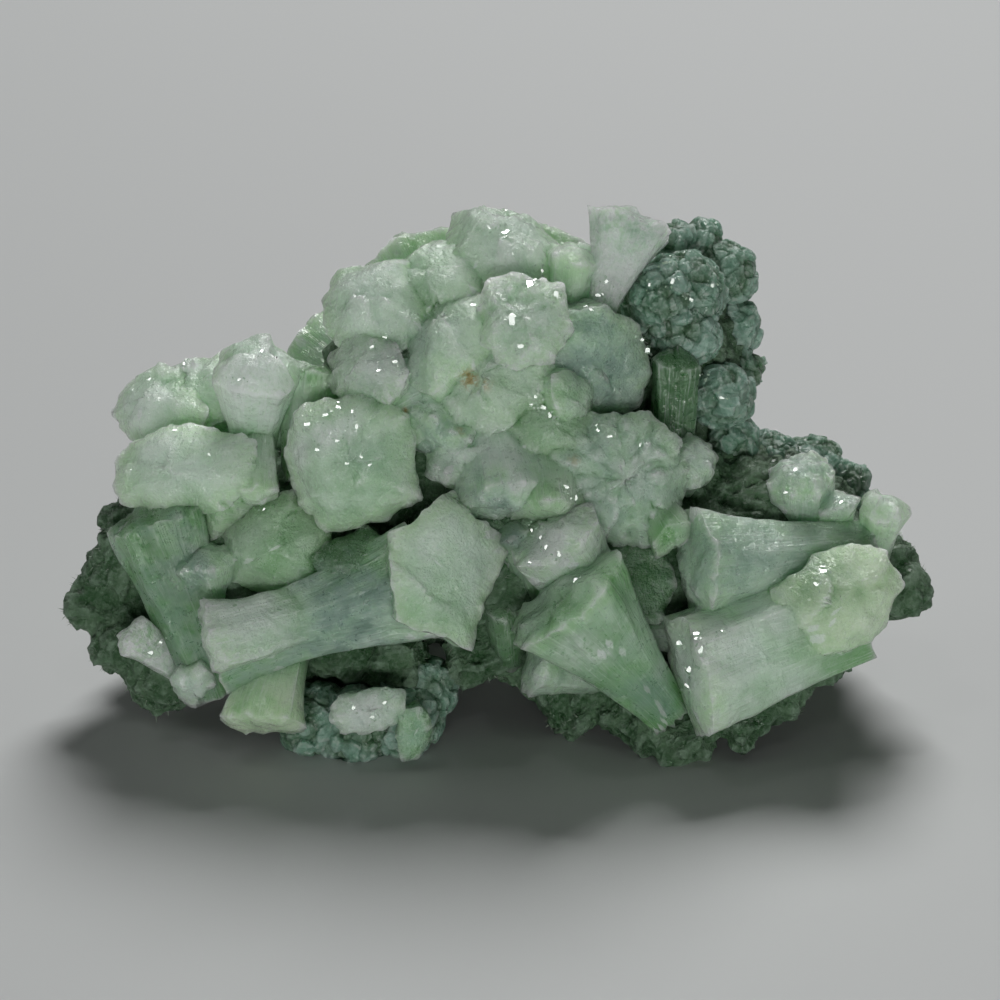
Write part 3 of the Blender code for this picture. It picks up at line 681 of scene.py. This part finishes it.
def rock_mesh(lumps, blades):
    """The rock's core, dark lumps and blades as one grown-together surface with its grain."""
    parts = [ball(lump, seed, 4)[:2] for seed, lump in lumps]
    for seed, blade in blades:
        surface = crystal_surface(blade, seed)
        parts.append((surface.points, surface.faces))
    mesh = remeshed(plain_mesh(*merged(parts)), ROCK_EDGE)
    points = positions(mesh)
    out = normals(mesh)
    edge, away, luck = cells(points / 1.7, 400)
    rise = 0.5 * (luck - 0.5) + tilted(away * 1.7, luck, 0.3) - 0.3 * np.exp(-edge / 0.15)
    rise += 0.40 * rough(points / 2.4, 410) + 0.18 * rough(points / 0.7, 420, 2)
    points = points + out * rise[:, None]
    mesh.vertices.foreach_set("co", points.ravel())
    grain = mesh.attributes.new("grain", "FLOAT_VECTOR", "POINT")
    grain.data.foreach_set("vector", points.ravel())
    return mesh


def needle_mesh(rock, count, seed):
    """Byssolite needles in tufts over the rock's outside."""
    chance = random.Random(seed)
    centres = np.zeros(len(rock.polygons) * 3)
    rock.polygons.foreach_get("center", centres)
    centres = centres.reshape(-1, 3)
    out = np.zeros(len(rock.polygons) * 3)
    rock.polygons.foreach_get("normal", out)
    out = out.reshape(-1, 3)
    # the remesh gives its faces in any order, so they are put in a repeatable one
    order = np.lexsort(np.round(centres, 4).T)
    centres, out = centres[order], out[order]
    tufted = waves(centres / 3.1, 77) + 0.5 * waves(centres / 1.2, 78)
    chosen = np.flatnonzero(tufted > -0.1)
    points = []
    faces = []
    for _ in range(count):
        face = int(chosen[chance.randrange(len(chosen))])
        foot = Vector(centres[face])
        up = Vector(out[face])
        lean = noise.noise_vector(foot / 2.5) * 1.3
        way = (up * 0.15 + lean + Vector([chance.uniform(-0.5, 0.5) for _ in range(3)])).normalized()
        length = chance.uniform(0.4, 1.1)
        width = chance.uniform(0.035, 0.075)
        side = way.orthogonal().normalized() * width
        other = way.cross(side)
        start = len(points)
        foot = foot - up * 0.3
        points += [foot + side, foot - side * 0.5 + other * 0.87, foot - side * 0.5 - other * 0.87]
        points.append(foot + way * length)
        faces += [(start, start + 1, start + 3), (start + 1, start + 2, start + 3), (start + 2, start, start + 3)]
        faces.append((start + 2, start + 1, start))
    mesh = bpy.data.meshes.new("needles")
    mesh.from_pydata([tuple(p) for p in points], [], faces)
    return mesh


# Small flat crystals, which catch the light

Lamp = namedtuple("Lamp", "name spot wide high watts spread")
LAMPS = (
    Lamp("sky_softbox", (0.25, 1.30, 1.60), 1.00, 1.00, 29.0, 180),
    Lamp("left_window", (-0.80, 0.05, 0.30), 0.30, 0.30, 0.5, 180),
    Lamp("front_strip", (0.05, -0.95, 0.07), 1.00, 0.12, 0.70, 60),
    Lamp("left_glint", (-0.22, -0.10, 0.60), 0.04, 0.04, 0.07, 180),
    Lamp("front_glint", (0.10, -0.40, 0.55), 0.04, 0.04, 0.06, 180),
    Lamp("back_glint", (0.06, 0.30, 0.62), 0.05, 0.05, 0.15, 180),
)

# Where flat faces shine in the photo: right and up of the aim, and how long the face is
SHINING = (
    (2.8, 20.0, 1.05), (1.1, 16.7, 1.00), (2.0, 14.3, 0.75), (-2.5, 18.1, 0.48), (3.8, 21.2, 0.54),
    (5.2, 19.0, 0.75), (0.5, 24.9, 0.80), (-1.0, 25.3, 0.41), (6.1, 26.3, 0.41), (3.3, 9.7, 0.48),
    (4.0, 8.6, 0.54), (4.6, 7.9, 0.54), (2.9, 8.9, 0.35), (-15.1, 5.5, 0.41), (-13.3, 6.8, 0.48),
    (-14.2, 3.4, 0.41), (-12.1, 3.3, 0.41), (-13.7, 8.2, 0.41), (-16.9, 4.7, 0.54), (-12.9, 4.0, 0.35),
    (-9.8, 12.8, 0.54), (-11.9, 14.2, 0.41), (-10.7, 15.1, 0.41), (-9.2, 13.8, 0.41), (-11.3, 12.0, 0.35),
    (-8.2, 11.2, 0.35), (29.9, -6.6, 0.80), (29.3, -7.8, 0.54), (3.0, -2.8, 0.48), (4.3, -4.4, 0.48),
    (2.8, -5.8, 0.41), (3.8, -3.5, 0.41), (-4.7, 0.5, 0.41), (-4.1, 0.1, 0.41), (13.5, 13.9, 0.80),
    (13.1, 14.9, 0.48), (9.1, 19.0, 0.54), (9.9, 20.3, 0.48), (8.4, 17.7, 0.41), (15.3, 22.0, 0.54),
    (16.0, 20.3, 0.54), (17.7, 18.6, 0.48), (13.9, 20.0, 0.41), (19.7, 19.9, 0.48), (19.2, 11.2, 0.48),
    (20.6, 9.5, 0.48), (10.2, 5.9, 0.48), (9.1, 6.5, 0.41), (13.0, 5.1, 0.35), (6.1, 1.2, 0.54),
    (7.0, 0.2, 0.48), (18.6, -13.9, 0.75), (17.7, -15.6, 0.85), (16.8, -13.2, 0.80), (20.5, -12.1, 0.41),
    (-32.5, -14.1, 0.61), (-31.6, -13.2, 0.41), (-13.5, -19.2, 0.54), (-11.9, -20.1, 0.48),
    (-10.7, -18.8, 0.41), (31.6, -0.2, 0.48), (27.4, 2.8, 0.48), (26.5, 0.7, 0.41), (-24.2, 11.2, 0.41),
    (-22.1, 13.8, 0.41), (-29.3, 12.6, 0.41), (-32.5, 11.2, 0.41), (-30.2, 6.5, 0.41), (-27.0, 4.2, 0.35),
    (-21.9, -0.9, 0.35), (-24.6, -9.8, 0.41), (-20.5, -10.2, 0.41), (-17.9, 7.0, 0.60), (-16.2, 7.9, 0.55),
    (-15.0, 8.6, 0.50), (18.2, -12.4, 0.60), (17.4, -17.2, 0.60), (7.0, -7.5, 0.60), (5.4, -5.0, 0.55),
)

# Where the prehnite is milky or painted with highlight, smoky, deep green or stained: right and up of the aim,
# radius and strength
MARKS = {
    # Milky places; several are painted highlight, as along a dome's top-left edge, and some lighten upper faces as
    # painted light
    "white": (
        (0.0, 23.5, 5.0, 0.40), (-11.5, 18.5, 4.5, 0.30), (-22.5, 10.0, 5.0, 0.80), (20.5, -14.0, 4.5, 0.60),
        (-21.9, 8.4, 3.8, 0.55), (-21.4, 12.1, 3.0, 0.40), (-18.6, 4.7, 1.7, 0.70), (-16.3, 6.0, 1.7, 0.70),
        (-14.4, 6.9, 1.5, 0.60), (-6.5, -4.2, 2.4, 0.40), (-7.0, -7.3, 1.7, 0.30), (17.7, -15.3, 3.4, 0.60),
        (20.0, -13.8, 2.7, 0.40), (4.5, -3.7, 2.7, 0.70), (5.6, -6.0, 1.7, 0.50), (0.5, 4.2, 2.4, 0.60),
        (1.9, 1.7, 1.7, 0.50), (-0.9, 6.3, 1.5, 0.40), (-32.5, 9.3, 3.4, 0.40), (-29.3, 12.6, 2.4, 0.40),
        (-31.6, 4.2, 3.1, 0.35), (-25.1, 2.8, 2.4, 0.40), (-24.2, -10.2, 3.6, 0.50), (-10.2, 12.6, 2.7, 0.40),
        (10.2, 21.9, 2.9, 0.35), (7.4, -13.9, 2.9, 0.50), (22.3, -14.9, 2.4, 0.30), (26.0, -11.2, 2.2, 0.30),
        (6.5, 0.9, 1.7, 0.50), (13.0, 2.8, 2.4, 0.30), (-12.6, -19.5, 2.4, 0.50), (-2.8, 14.4, 1.9, 0.30),
    ),
    "smoke": (
        (-13.9, -10.2, 4.4, 0.80), (-15.8, -13.0, 2.7, 0.60), (9.3, 12.1, 3.9, 0.50), (22.3, -5.6, 3.9, 0.50),
        (18.6, -3.7, 2.7, 0.50), (27.9, -5.6, 2.7, 0.40), (1.4, -3.7, 1.5, 0.80), (0.2, -0.5, 1.5, 0.70),
        (13.0, 25.6, 2.2, 0.70), (9.3, 25.6, 1.7, 0.50), (-8.4, 13.9, 3.6, 0.50), (-12.1, 10.2, 2.4, 0.30),
        (31.6, -0.5, 1.5, 0.40), (-28.8, -6.5, 2.2, 0.50), (13.9, -17.7, 2.4, 0.70), (15.3, -19.1, 1.7, 0.70),
        (-1.4, 0.0, 1.5, 0.60), (-12.1, 4.2, 2.4, 0.30), (-5.6, 2.8, 1.7, 0.50),
    ),
    "green": (
        (8.5, -14.5, 5.0, 0.60), (-31.0, -9.0, 5.5, 0.90), (-13.5, 1.5, 5.5, 0.50), (30.0, -8.0, 4.0, 0.45),
        (-13.0, -6.5, 3.9, 1.00), (-15.8, -5.1, 2.2, 1.00), (-17.5, 12.1, 1.9, 0.60), (-33.5, -2.8, 2.7, 0.40),
        (-31.6, -11.2, 3.6, 0.50), (-14.9, -1.9, 2.9, 0.50), (-4.7, -11.2, 3.1, 0.50), (-8.4, -10.2, 2.4, 0.50),
        (5.6, -10.2, 2.9, 0.60), (9.3, -13.0, 2.4, 0.50), (24.2, -18.6, 2.7, 0.50), (32.5, -14.9, 3.1, 0.40),
        (-7.0, 19.5, 3.1, 0.50), (-2.8, 24.2, 2.9, 0.30), (6.5, 9.3, 2.4, 0.50), (15.8, -2.8, 1.9, 0.70),
        (-23.2, -18.6, 2.4, 0.40), (16.4, 9.8, 3.6, 0.80), (2.8, 6.5, 2.4, 0.40), (-27.9, -0.9, 2.2, 0.50),
        (-21.4, -5.1, 3.1, 0.30), (11.2, -7.9, 3.1, 0.70),
    ),
    "ochre": (
        (-2.8, 11.2, 1.0, 1.00), (-1.5, 10.8, 0.5, 0.80), (-8.8, 8.3, 0.4, 1.00), (-3.7, 6.5, 0.4, 0.80),
        (14.4, 22.1, 0.6, 0.60), (7.0, 3.7, 0.5, 0.50),
    ),
}

# The outline of a small flat crystal, with its length as 1
TABLET = ((-0.5, -0.2), (-0.3, -0.30), (0.42, -0.26), (0.5, 0.1), (0.3, 0.28), (-0.44, 0.22))


def tablet(centre, facing, along, length, depth):
    """A small flat crystal with six sides, sunk to this depth behind its face, as points and faces."""
    side = facing.cross(along).normalized()
    along = side.cross(facing)
    points = []
    for down, size in ((0, 1.0), (depth, 1.15)):
        points += [centre - facing * down + (along * x + side * y) * length * size for x, y in TABLET]
    count = len(TABLET)
    faces = [tuple(range(count)), tuple(reversed(range(count, 2 * count)))]
    faces += [(k, count + k, count + (k + 1) % count, (k + 1) % count) for k in range(count)]
    return points, faces


def eye_point():
    return (AIM - MIDDLE + TOWARD_EYE * EYE_DISTANCE) * MM


def first_met(trees, right, up):
    """The first surface that shows this far right and up of the aim: its point and the way it faces."""
    eye = eye_point()
    way = (seen(right, up, 0) - MIDDLE) * MM - eye
    hits = [hit for hit in (tree.ray_cast(eye, way) for tree in trees) if hit[0]]
    return min(hits, key=lambda hit: hit[3])[:2] if hits else None


def trees_of(pieces):
    return [
        bvhtree.BVHTree.FromPolygons([v.co for v in mesh.vertices], [face.vertices for face in mesh.polygons])
        for mesh in pieces
    ]


def marked(pieces, trees):
    """Gives each point of the pieces its share of the milky or painted-highlight, smoky, green and stained places.
    """
    met = [
        (column, radius, strength, first_met(trees, right, up))
        for column, marks in enumerate(MARKS.values())
        for right, up, radius, strength in marks
    ]
    for mesh in pieces:
        points = positions(mesh) / MM
        bent = 1 + 0.45 * waves(points / 1.6, 33) + 0.2 * waves(points / 0.7, 34)
        values = np.zeros((len(points), 4))
        for column, radius, strength, hit in met:
            if hit is None:
                continue
            far = np.linalg.norm(points - np.array(hit[0]) / MM, axis=1) * bent / radius
            near = np.clip(1.3 - far, 0, 1)
            values[:, column] = np.maximum(values[:, column], strength * near * near * (3 - 2 * near))
        mesh.attributes.new("mark", "FLOAT_COLOR", "POINT").data.foreach_set("color", values.ravel())


def shining(trees, seed):
    """Small flat crystals where the photo's faces shine: one turned to reflect a lamp, and smaller ones by it."""
    chance = random.Random(seed)
    eye = eye_point()
    made = []
    for right, up, length in SHINING:
        for size, stray in ((1.0, 0), (0.6, 0.45), (0.45, 0.6), (0.35, 0.8)):
            angle = chance.uniform(0, math.tau)
            hit = first_met(trees, right + stray * math.cos(angle), up + stray * math.sin(angle))
            if hit is None:
                continue
            place, out = hit
            to_eye = (eye - place).normalized()
            to_lamps = [(Vector(lit.spot) - place).normalized() for lit in LAMPS[GENERAL_LAMPS:]]
            halves = [(to_eye + to_lamp).normalized() for to_lamp in to_lamps]
            tilt = Vector([chance.uniform(-0.5, 0.5) for _ in range(3)]) * stray * 0.25
            facing = (max(halves, key=out.dot) + tilt).normalized()
            along = Vector([chance.uniform(-1, 1) for _ in range(3)])
            made.append(tablet(place + out * 0.04 * MM, facing, along, length * size * MM, 0.4 * MM))
    return made


def tablet_mesh(made):
    points, faces = merged([(np.array(more), more_faces) for more, more_faces in made])
    return plain_mesh(points / MM + np.array(MIDDLE), faces)


# Materials

class Tree:
    """A material's nodes, added one by one and joined by their outputs."""

    def __init__(self, name):
        self.material = bpy.data.materials.new(name)
        self.material.use_nodes = True
        self.nodes = self.material.node_tree.nodes
        self.links = self.material.node_tree.links
        self.surface = self.nodes["Principled BSDF"]

    def add(self, kind, settings=None, **inputs):
        made = self.nodes.new(kind)
        for key, value in (settings or {}).items():
            setattr(made, key, value)
        for key, value in inputs.items():
            self.put(made, key.replace("_", " "), value)
        return made

    def put(self, node_, socket, value):
        """Links or sets the node's socket, which is named, or i and its number."""
        numbered = socket[0] == "i" and socket[1:].isdigit()
        target = node_.inputs[int(socket[1:]) if numbered else socket]
        if isinstance(value, bpy.types.NodeSocket):
            self.links.new(value, target)
        else:
            target.default_value = value

    def finish(self, socket, value):
        self.put(self.surface, socket, value)

    def place(self):
        """Where the point is, in mm."""
        return self.vector("MULTIPLY", self.add("ShaderNodeTexCoord").outputs["Object"], (1 / MM, 1 / MM, 1 / MM))

    def known(self, name):
        return self.add("ShaderNodeAttribute", {"attribute_name": name})

    def peak(self):
        """Above a half on ridges and below it in clefts."""
        return self.add("ShaderNodeNewGeometry").outputs["Pointiness"]

    def relief(self, height):
        """The normal of a surface that stands out by this height in mm."""
        return self.add("ShaderNodeBump", None, Strength=1.0, Distance=MM, Height=height).outputs["Normal"]

    def math(self, operation, a, b=0.5, clamp=False):
        return self.add("ShaderNodeMath", {"operation": operation, "use_clamp": clamp}, i0=a, i1=b).outputs[0]

    def plus(self, a, b, clamp=False):
        return self.math("ADD", a, b, clamp)

    def times(self, a, b, clamp=False):
        return self.math("MULTIPLY", a, b, clamp)

    def vector(self, operation, a, b):
        return self.add("ShaderNodeVectorMath", {"operation": operation}, i0=a, i1=b).outputs["Vector"]

    def noise(self, where, scale, detail=3.0, roughness=0.55):
        made = self.add("ShaderNodeTexNoise", None, Vector=where, Scale=scale, Detail=detail, Roughness=roughness)
        return made.outputs["Fac"]

    def swirl(self, where, scale):
        made = self.add("ShaderNodeTexNoise", None, Vector=where, Scale=scale, Detail=0.0)
        return self.vector("SUBTRACT", made.outputs["Color"], (0.5, 0.5, 0.5))

    def ramp(self, value, low, high, to_low=0.0, to_high=1.0):
        made = self.add("ShaderNodeMapRange", {"interpolation_type": "SMOOTHSTEP"}, Value=value)
        for socket, number in (("From Min", low), ("From Max", high), ("To Min", to_low), ("To Max", to_high)):
            self.put(made, socket, number)
        return made.outputs["Result"]

    def mix(self, share, a, b):
        made = self.add("ShaderNodeMix", {"data_type": "RGBA"})
        self.put(made, "i0", share)
        self.put(made, "i6", a)
        self.put(made, "i7", b)
        return made.outputs[2]

    def blocks(self, where, scale):
        """The height in mm of small crystal blocks with flat slanting faces."""
        settings = {"feature": "F1", "distance": "CHEBYCHEV"}
        cell = self.add("ShaderNodeTexVoronoi", settings, Vector=where, Scale=scale)
        return self.math("DIVIDE", cell.outputs["Distance"], scale), cell.outputs["Color"]


def rgb(r, g, b):
    return (r, g, b, 1.0)


def prehnite(name, clear):
    """Prehnite: a pale green glow from within, with a darker green painted toward its foot and in its clefts as
    painted shade, smoky where it is clear, and white where it is fine-grained, with painted highlight on ridges,
    thin edges and some milky places, under a glossy skin of small flat faces."""
    t = Tree(name)
    grain = t.known("grain").outputs["Vector"]
    tone = t.known("tone")
    buried = t.known("buried").outputs["Fac"]
    rim = t.known("rim").outputs["Fac"]
    parts = t.add("ShaderNodeSeparateColor", None, Color=tone.outputs["Color"])
    smoke, frost, deep = parts.outputs[0], parts.outputs[1], parts.outputs[2]
    warm = tone.outputs["Alpha"]
    mark = t.known("mark")
    marks = t.add("ShaderNodeSeparateColor", None, Color=mark.outputs["Color"])
    mm = t.place()
    broad = t.noise(mm, 0.22, 1)
    cloud = t.noise(mm, 0.5, 3, 0.6)
    patch = t.noise(mm, 1.4, 3, 0.7)
    streak = t.noise(t.vector("MULTIPLY", grain, (2.8, 2.8, 0.14)), 1.0, 3, 0.66)
    bent = t.vector("ADD", mm, t.vector("MULTIPLY", t.swirl(mm, 0.7), (1.6, 1.6, 1.6)))
    peak = t.peak()
    hair = t.noise(t.vector("MULTIPLY", grain, (8, 8, 0.30)), 1.0, 2, 0.6)

    colour = t.mix(t.ramp(broad, 0.35, 0.65), rgb(0.58, 0.81, 0.59), rgb(0.70, 0.87, 0.74))
    colour = t.mix(warm, colour, rgb(0.76, 0.88, 0.54))
    colour = t.mix(t.times(rim, t.ramp(patch, 0.3, 0.6, 0.3, 0.65)), colour, rgb(0.52, 0.82, 0.42))
    # Painted shade: a darker green toward each crystal's foot and in the clefts between crystals, mixed with the
    # crystal's own deep tone, clouds and deep-green marks
    green = t.plus(t.ramp(buried, 0.30, 1.0, 0.0, 0.75), t.times(deep, 0.85), True)
    green = t.plus(green, t.ramp(cloud, 0.42, 0.70, 0.0, 0.20), True)
    green = t.plus(green, t.ramp(peak, 0.49, 0.43, 0.0, 0.7), True)
    green = t.plus(green, t.times(marks.outputs[2], 0.7), True)
    colour = t.mix(green, colour, rgb(0.15, 0.40, 0.12))
    colour = t.mix(t.ramp(deep, 0.5, 1.0, 0.0, 0.85), colour, rgb(0.05, 0.19, 0.05))
    haze = t.times(smoke, t.ramp(cloud, 0.36, 0.62, 0.9, 0.2), True)
    haze = t.plus(haze, t.times(marks.outputs[1], t.ramp(streak, 0.3, 0.6, 0.9, 0.6)), True)
    colour = t.mix(haze, colour, rgb(0.35, 0.56, 0.45))
    # Milky white where the prehnite is frosted, streaked or hair-lined, and painted highlight on ridges, on thin
    # edges and at some of the white marks
    white = t.times(frost, t.ramp(patch, 0.35, 0.65, 1.1, 0.3), True)
    white = t.plus(white, t.times(marks.outputs[0], t.ramp(patch, 0.3, 0.6, 0.5, 1.1)), True)
    white = t.plus(white, t.ramp(streak, 0.56, 0.74, 0.0, 0.35), True)
    white = t.plus(white, t.ramp(peak, 0.515, 0.60, 0.0, 0.6), True)
    white = t.plus(white, t.ramp(hair, 0.57, 0.70, 0.0, 0.35), True)
    colour = t.mix(white, colour, rgb(0.80, 0.90, 0.83))
    stain = t.times(mark.outputs["Alpha"], t.ramp(patch, 0.42, 0.55, 0.1, 1.0), True)
    colour = t.mix(stain, colour, rgb(0.46, 0.40, 0.17))
    t.finish("Base Color", colour)

    large, _ = t.blocks(bent, 0.75)
    crests = t.math("ABSOLUTE", t.math("SUBTRACT", patch, 0.5))
    height = t.times(large, t.ramp(frost, 0.0, 0.6, 0.18, 0.36))
    height = t.math("SUBTRACT", height, t.times(crests, t.ramp(frost, 0.0, 0.6, 0.25, 0.60)))
    height = t.plus(height, t.times(streak, 0.26))
    relief = t.relief(height)
    t.finish("Normal", relief)
    t.finish("Coat Normal", relief)
    t.finish("Coat Weight", 1.0)
    t.finish("Coat Roughness", 0.12)
    t.finish("Coat IOR", 1.62)
    t.finish("Roughness", t.ramp(patch, 0.3, 0.7, 0.25, 0.45))
    t.finish("IOR", 1.5)
    t.finish("Subsurface Weight", 1.0)
    t.finish("Subsurface Radius", (1.0, 1.0, 1.0))
    t.finish("Subsurface Scale", 0.0045)
    if clear:
        see_through = t.plus(t.times(haze, 0.4), t.times(deep, 0.3), True)
        t.finish("Transmission Weight", see_through)
    return t.material


def bright_material():
    """The smooth face of a small flat crystal."""
    t = Tree("bright_face_look")
    tint = t.noise(t.place(), 0.8, 2)
    t.finish("Base Color", t.mix(t.ramp(tint, 0.35, 0.65), rgb(0.38, 0.55, 0.39), rgb(0.52, 0.66, 0.53)))
    t.finish("Roughness", 0.1)
    t.finish("IOR", 1.62)
    return t.material


def rock_material():
    t = Tree("byssolite_rock_look")
    mm = t.place()
    broad = t.noise(mm, 0.3, 4, 0.6)
    grit = t.noise(mm, 2.2, 5, 0.7)
    fibre = t.noise(t.vector("MULTIPLY", mm, (1.2, 5.0, 5.0)), 1.0, 4, 0.6)
    peak = t.peak()
    colour = t.mix(t.ramp(broad, 0.35, 0.65), rgb(0.025, 0.090, 0.026), rgb(0.100, 0.190, 0.098))
    light = t.plus(t.ramp(grit, 0.45, 0.75, 0.0, 0.55), t.ramp(peak, 0.50, 0.58, 0.0, 0.5), True)
    colour = t.mix(light, colour, rgb(0.24, 0.35, 0.25))
    t.finish("Base Color", colour)
    small, luck = t.blocks(mm, 1.4)
    height = t.plus(t.times(small, 0.6), t.times(grit, 0.35))
    height = t.plus(height, t.times(fibre, 0.12))
    t.finish("Normal", t.relief(height))
    gloss = t.add("ShaderNodeSeparateColor", None, Color=luck).outputs[0]
    t.finish("Roughness", t.ramp(gloss, 0.0, 1.0, 0.22, 0.75))
    t.finish("IOR", 1.6)
    return t.material


def rosette_material():
    t = Tree("rosette_look")
    buried = t.known("buried").outputs["Fac"]
    mm = t.place()
    broad = t.noise(mm, 0.35, 3)
    patch = t.noise(mm, 1.3, 4, 0.65)
    peak = t.peak()
    colour = t.mix(t.ramp(broad, 0.35, 0.65), rgb(0.16, 0.31, 0.22), rgb(0.30, 0.46, 0.38))
    # Painted shade: darker in the low places between the rosette's blocks
    colour = t.mix(t.ramp(buried, 0.35, 0.85, 0.0, 0.8), colour, rgb(0.05, 0.12, 0.04))
    light = t.plus(t.ramp(patch, 0.52, 0.75, 0.0, 0.5), t.ramp(peak, 0.50, 0.58, 0.0, 0.5), True)
    colour = t.mix(light, colour, rgb(0.45, 0.52, 0.46))
    t.finish("Base Color", colour)
    blocks, luck = t.blocks(mm, 1.2)
    height = t.plus(t.times(blocks, 0.6), t.times(patch, 0.35))
    t.finish("Normal", t.relief(height))
    gloss = t.add("ShaderNodeSeparateColor", None, Color=luck).outputs[1]
    t.finish("Roughness", t.ramp(gloss, 0.1, 0.9, 0.12, 0.5))
    t.finish("IOR", 1.62)
    t.finish("Subsurface Weight", 0.9)
    t.finish("Subsurface Radius", (1.0, 1.0, 1.0))
    t.finish("Subsurface Scale", 0.0025)
    return t.material


def needle_material():
    t = Tree("byssolite_needle_look")
    mm = t.place()
    tint = t.noise(mm, 0.8, 3)
    colour = t.mix(t.ramp(tint, 0.35, 0.65), rgb(0.07, 0.12, 0.06), rgb(0.30, 0.38, 0.29))
    t.finish("Base Color", colour)
    t.finish("Roughness", 0.35)
    return t.material


PREHNITE = prehnite("prehnite_look", True)
FROSTED = prehnite("frosted_prehnite_look", False)
BRIGHT = bright_material()
ROCK = rock_material()
ROSETTE = rosette_material()
NEEDLES = needle_material()

CLUSTERS = (
    ("crown_crystals", CROWN, PREHNITE, "prehnite", "prehnite_crown"),
    ("west_crystals", WEST, PREHNITE, "prehnite", "prehnite_west"),
    ("middle_fan_crystals", MIDDLE_FAN, PREHNITE, "prehnite", "prehnite_middle_fan"),
    ("east_crystals", EAST, PREHNITE, "prehnite", "prehnite_east"),
    ("small_west_crystals", WEST_SMALL, FROSTED, "frosted_prehnite", "small_prehnite_west"),
    ("small_foot_crystals", FOOT_SMALL, FROSTED, "frosted_prehnite", "small_prehnite_foot"),
    ("small_keel_crystal", KEEL_SMALL, PREHNITE, "prehnite", "small_prehnite_keel"),
    ("back_crystals", BACK, PREHNITE, "prehnite", "prehnite_back"),
)
crystals_made = [
    cluster(name, order, crystals, finish, node_name).data
    for order, (name, crystals, finish, slot, node_name) in enumerate(CLUSTERS)
]

seeded = list(enumerate(CORE + LUMPS))
rosettes = [pair for pair in seeded if pair[0] in ROSETTES]
dark = [pair for pair in seeded if pair[0] not in ROSETTES]
rock = rock_mesh(dark, list(enumerate(BLADES)))
needles = needle_mesh(rock, NEEDLE_COUNT, 5)
shown("rock_matrix", rock, ROCK, ["byssolite_rock"], crease=180)
shown("byssolite_needles", needles, NEEDLES, [])
balls = [rosette_surface(lump, seed) for seed, lump in rosettes]
dark_balls = fused([plain_mesh(s.points, s.faces) for s in balls])
tagged(dark_balls, balls)
shown("rock_rosettes", dark_balls, ROSETTE, [])

trees = trees_of(crystals_made + [dark_balls, rock])
marked(crystals_made, trees)
shown("bright_faces", tablet_mesh(shining(trees, 7)), BRIGHT, [], crease=10)


# The surface that it stands on, the light and the camera

def lamp(lit):
    data = bpy.data.lights.new(lit.name, "AREA")
    data.shape = "ELLIPSE" if lit.wide == lit.high else "RECTANGLE"
    data.size = lit.wide
    data.size_y = lit.high
    data.energy = lit.watts
    data.spread = math.radians(lit.spread)
    obj = bpy.data.objects.new(lit.name, data)
    bpy.context.scene.collection.objects.link(obj)
    obj.location = lit.spot
    obj.rotation_mode = "QUATERNION"
    obj.rotation_quaternion = (Vector((0, 0, 0.02)) - Vector(lit.spot)).to_track_quat("-Z", "Y")


def floor():
    bm = bmesh.new()
    bmesh.ops.create_grid(bm, x_segments=1, y_segments=1, size=3)
    mesh = bpy.data.meshes.new("floor")
    bm.to_mesh(mesh)
    bm.free()
    t = Tree("floor_look")
    t.finish("Base Color", rgb(0.60, 0.615, 0.61))
    t.finish("Roughness", 0.6)
    mesh.materials.append(t.material)
    obj = bpy.data.objects.new("floor", mesh)
    bpy.context.scene.collection.objects.link(obj)


floor()
for lit in LAMPS:
    lamp(lit)

# Three diffuse bounces keep the clefts dark and the render short
bounces = bpy.context.scene.cycles
bounces.max_bounces = 6
bounces.diffuse_bounces = 3
bounces.glossy_bounces = 2
bounces.transmission_bounces = 4

world = bpy.data.worlds.new("world")
bpy.context.scene.world = world
world.use_nodes = True
world.node_tree.nodes["Background"].inputs["Color"].default_value = rgb(0.80, 0.83, 0.85)
world.node_tree.nodes["Background"].inputs["Strength"].default_value = 0.018

camera = bpy.data.objects.new("camera", bpy.data.cameras.new("camera"))
bpy.context.scene.collection.objects.link(camera)
camera.data.lens = 90
camera.data.sensor_width = 36
camera.data.clip_start = 0.01
camera.location = eye_point()
camera.rotation_mode = "QUATERNION"
camera.rotation_quaternion = (-TOWARD_EYE).to_track_quat("-Z", "Y")
bpy.context.scene.camera = camera
bpy.context.scene.view_settings.view_transform = "Standard"
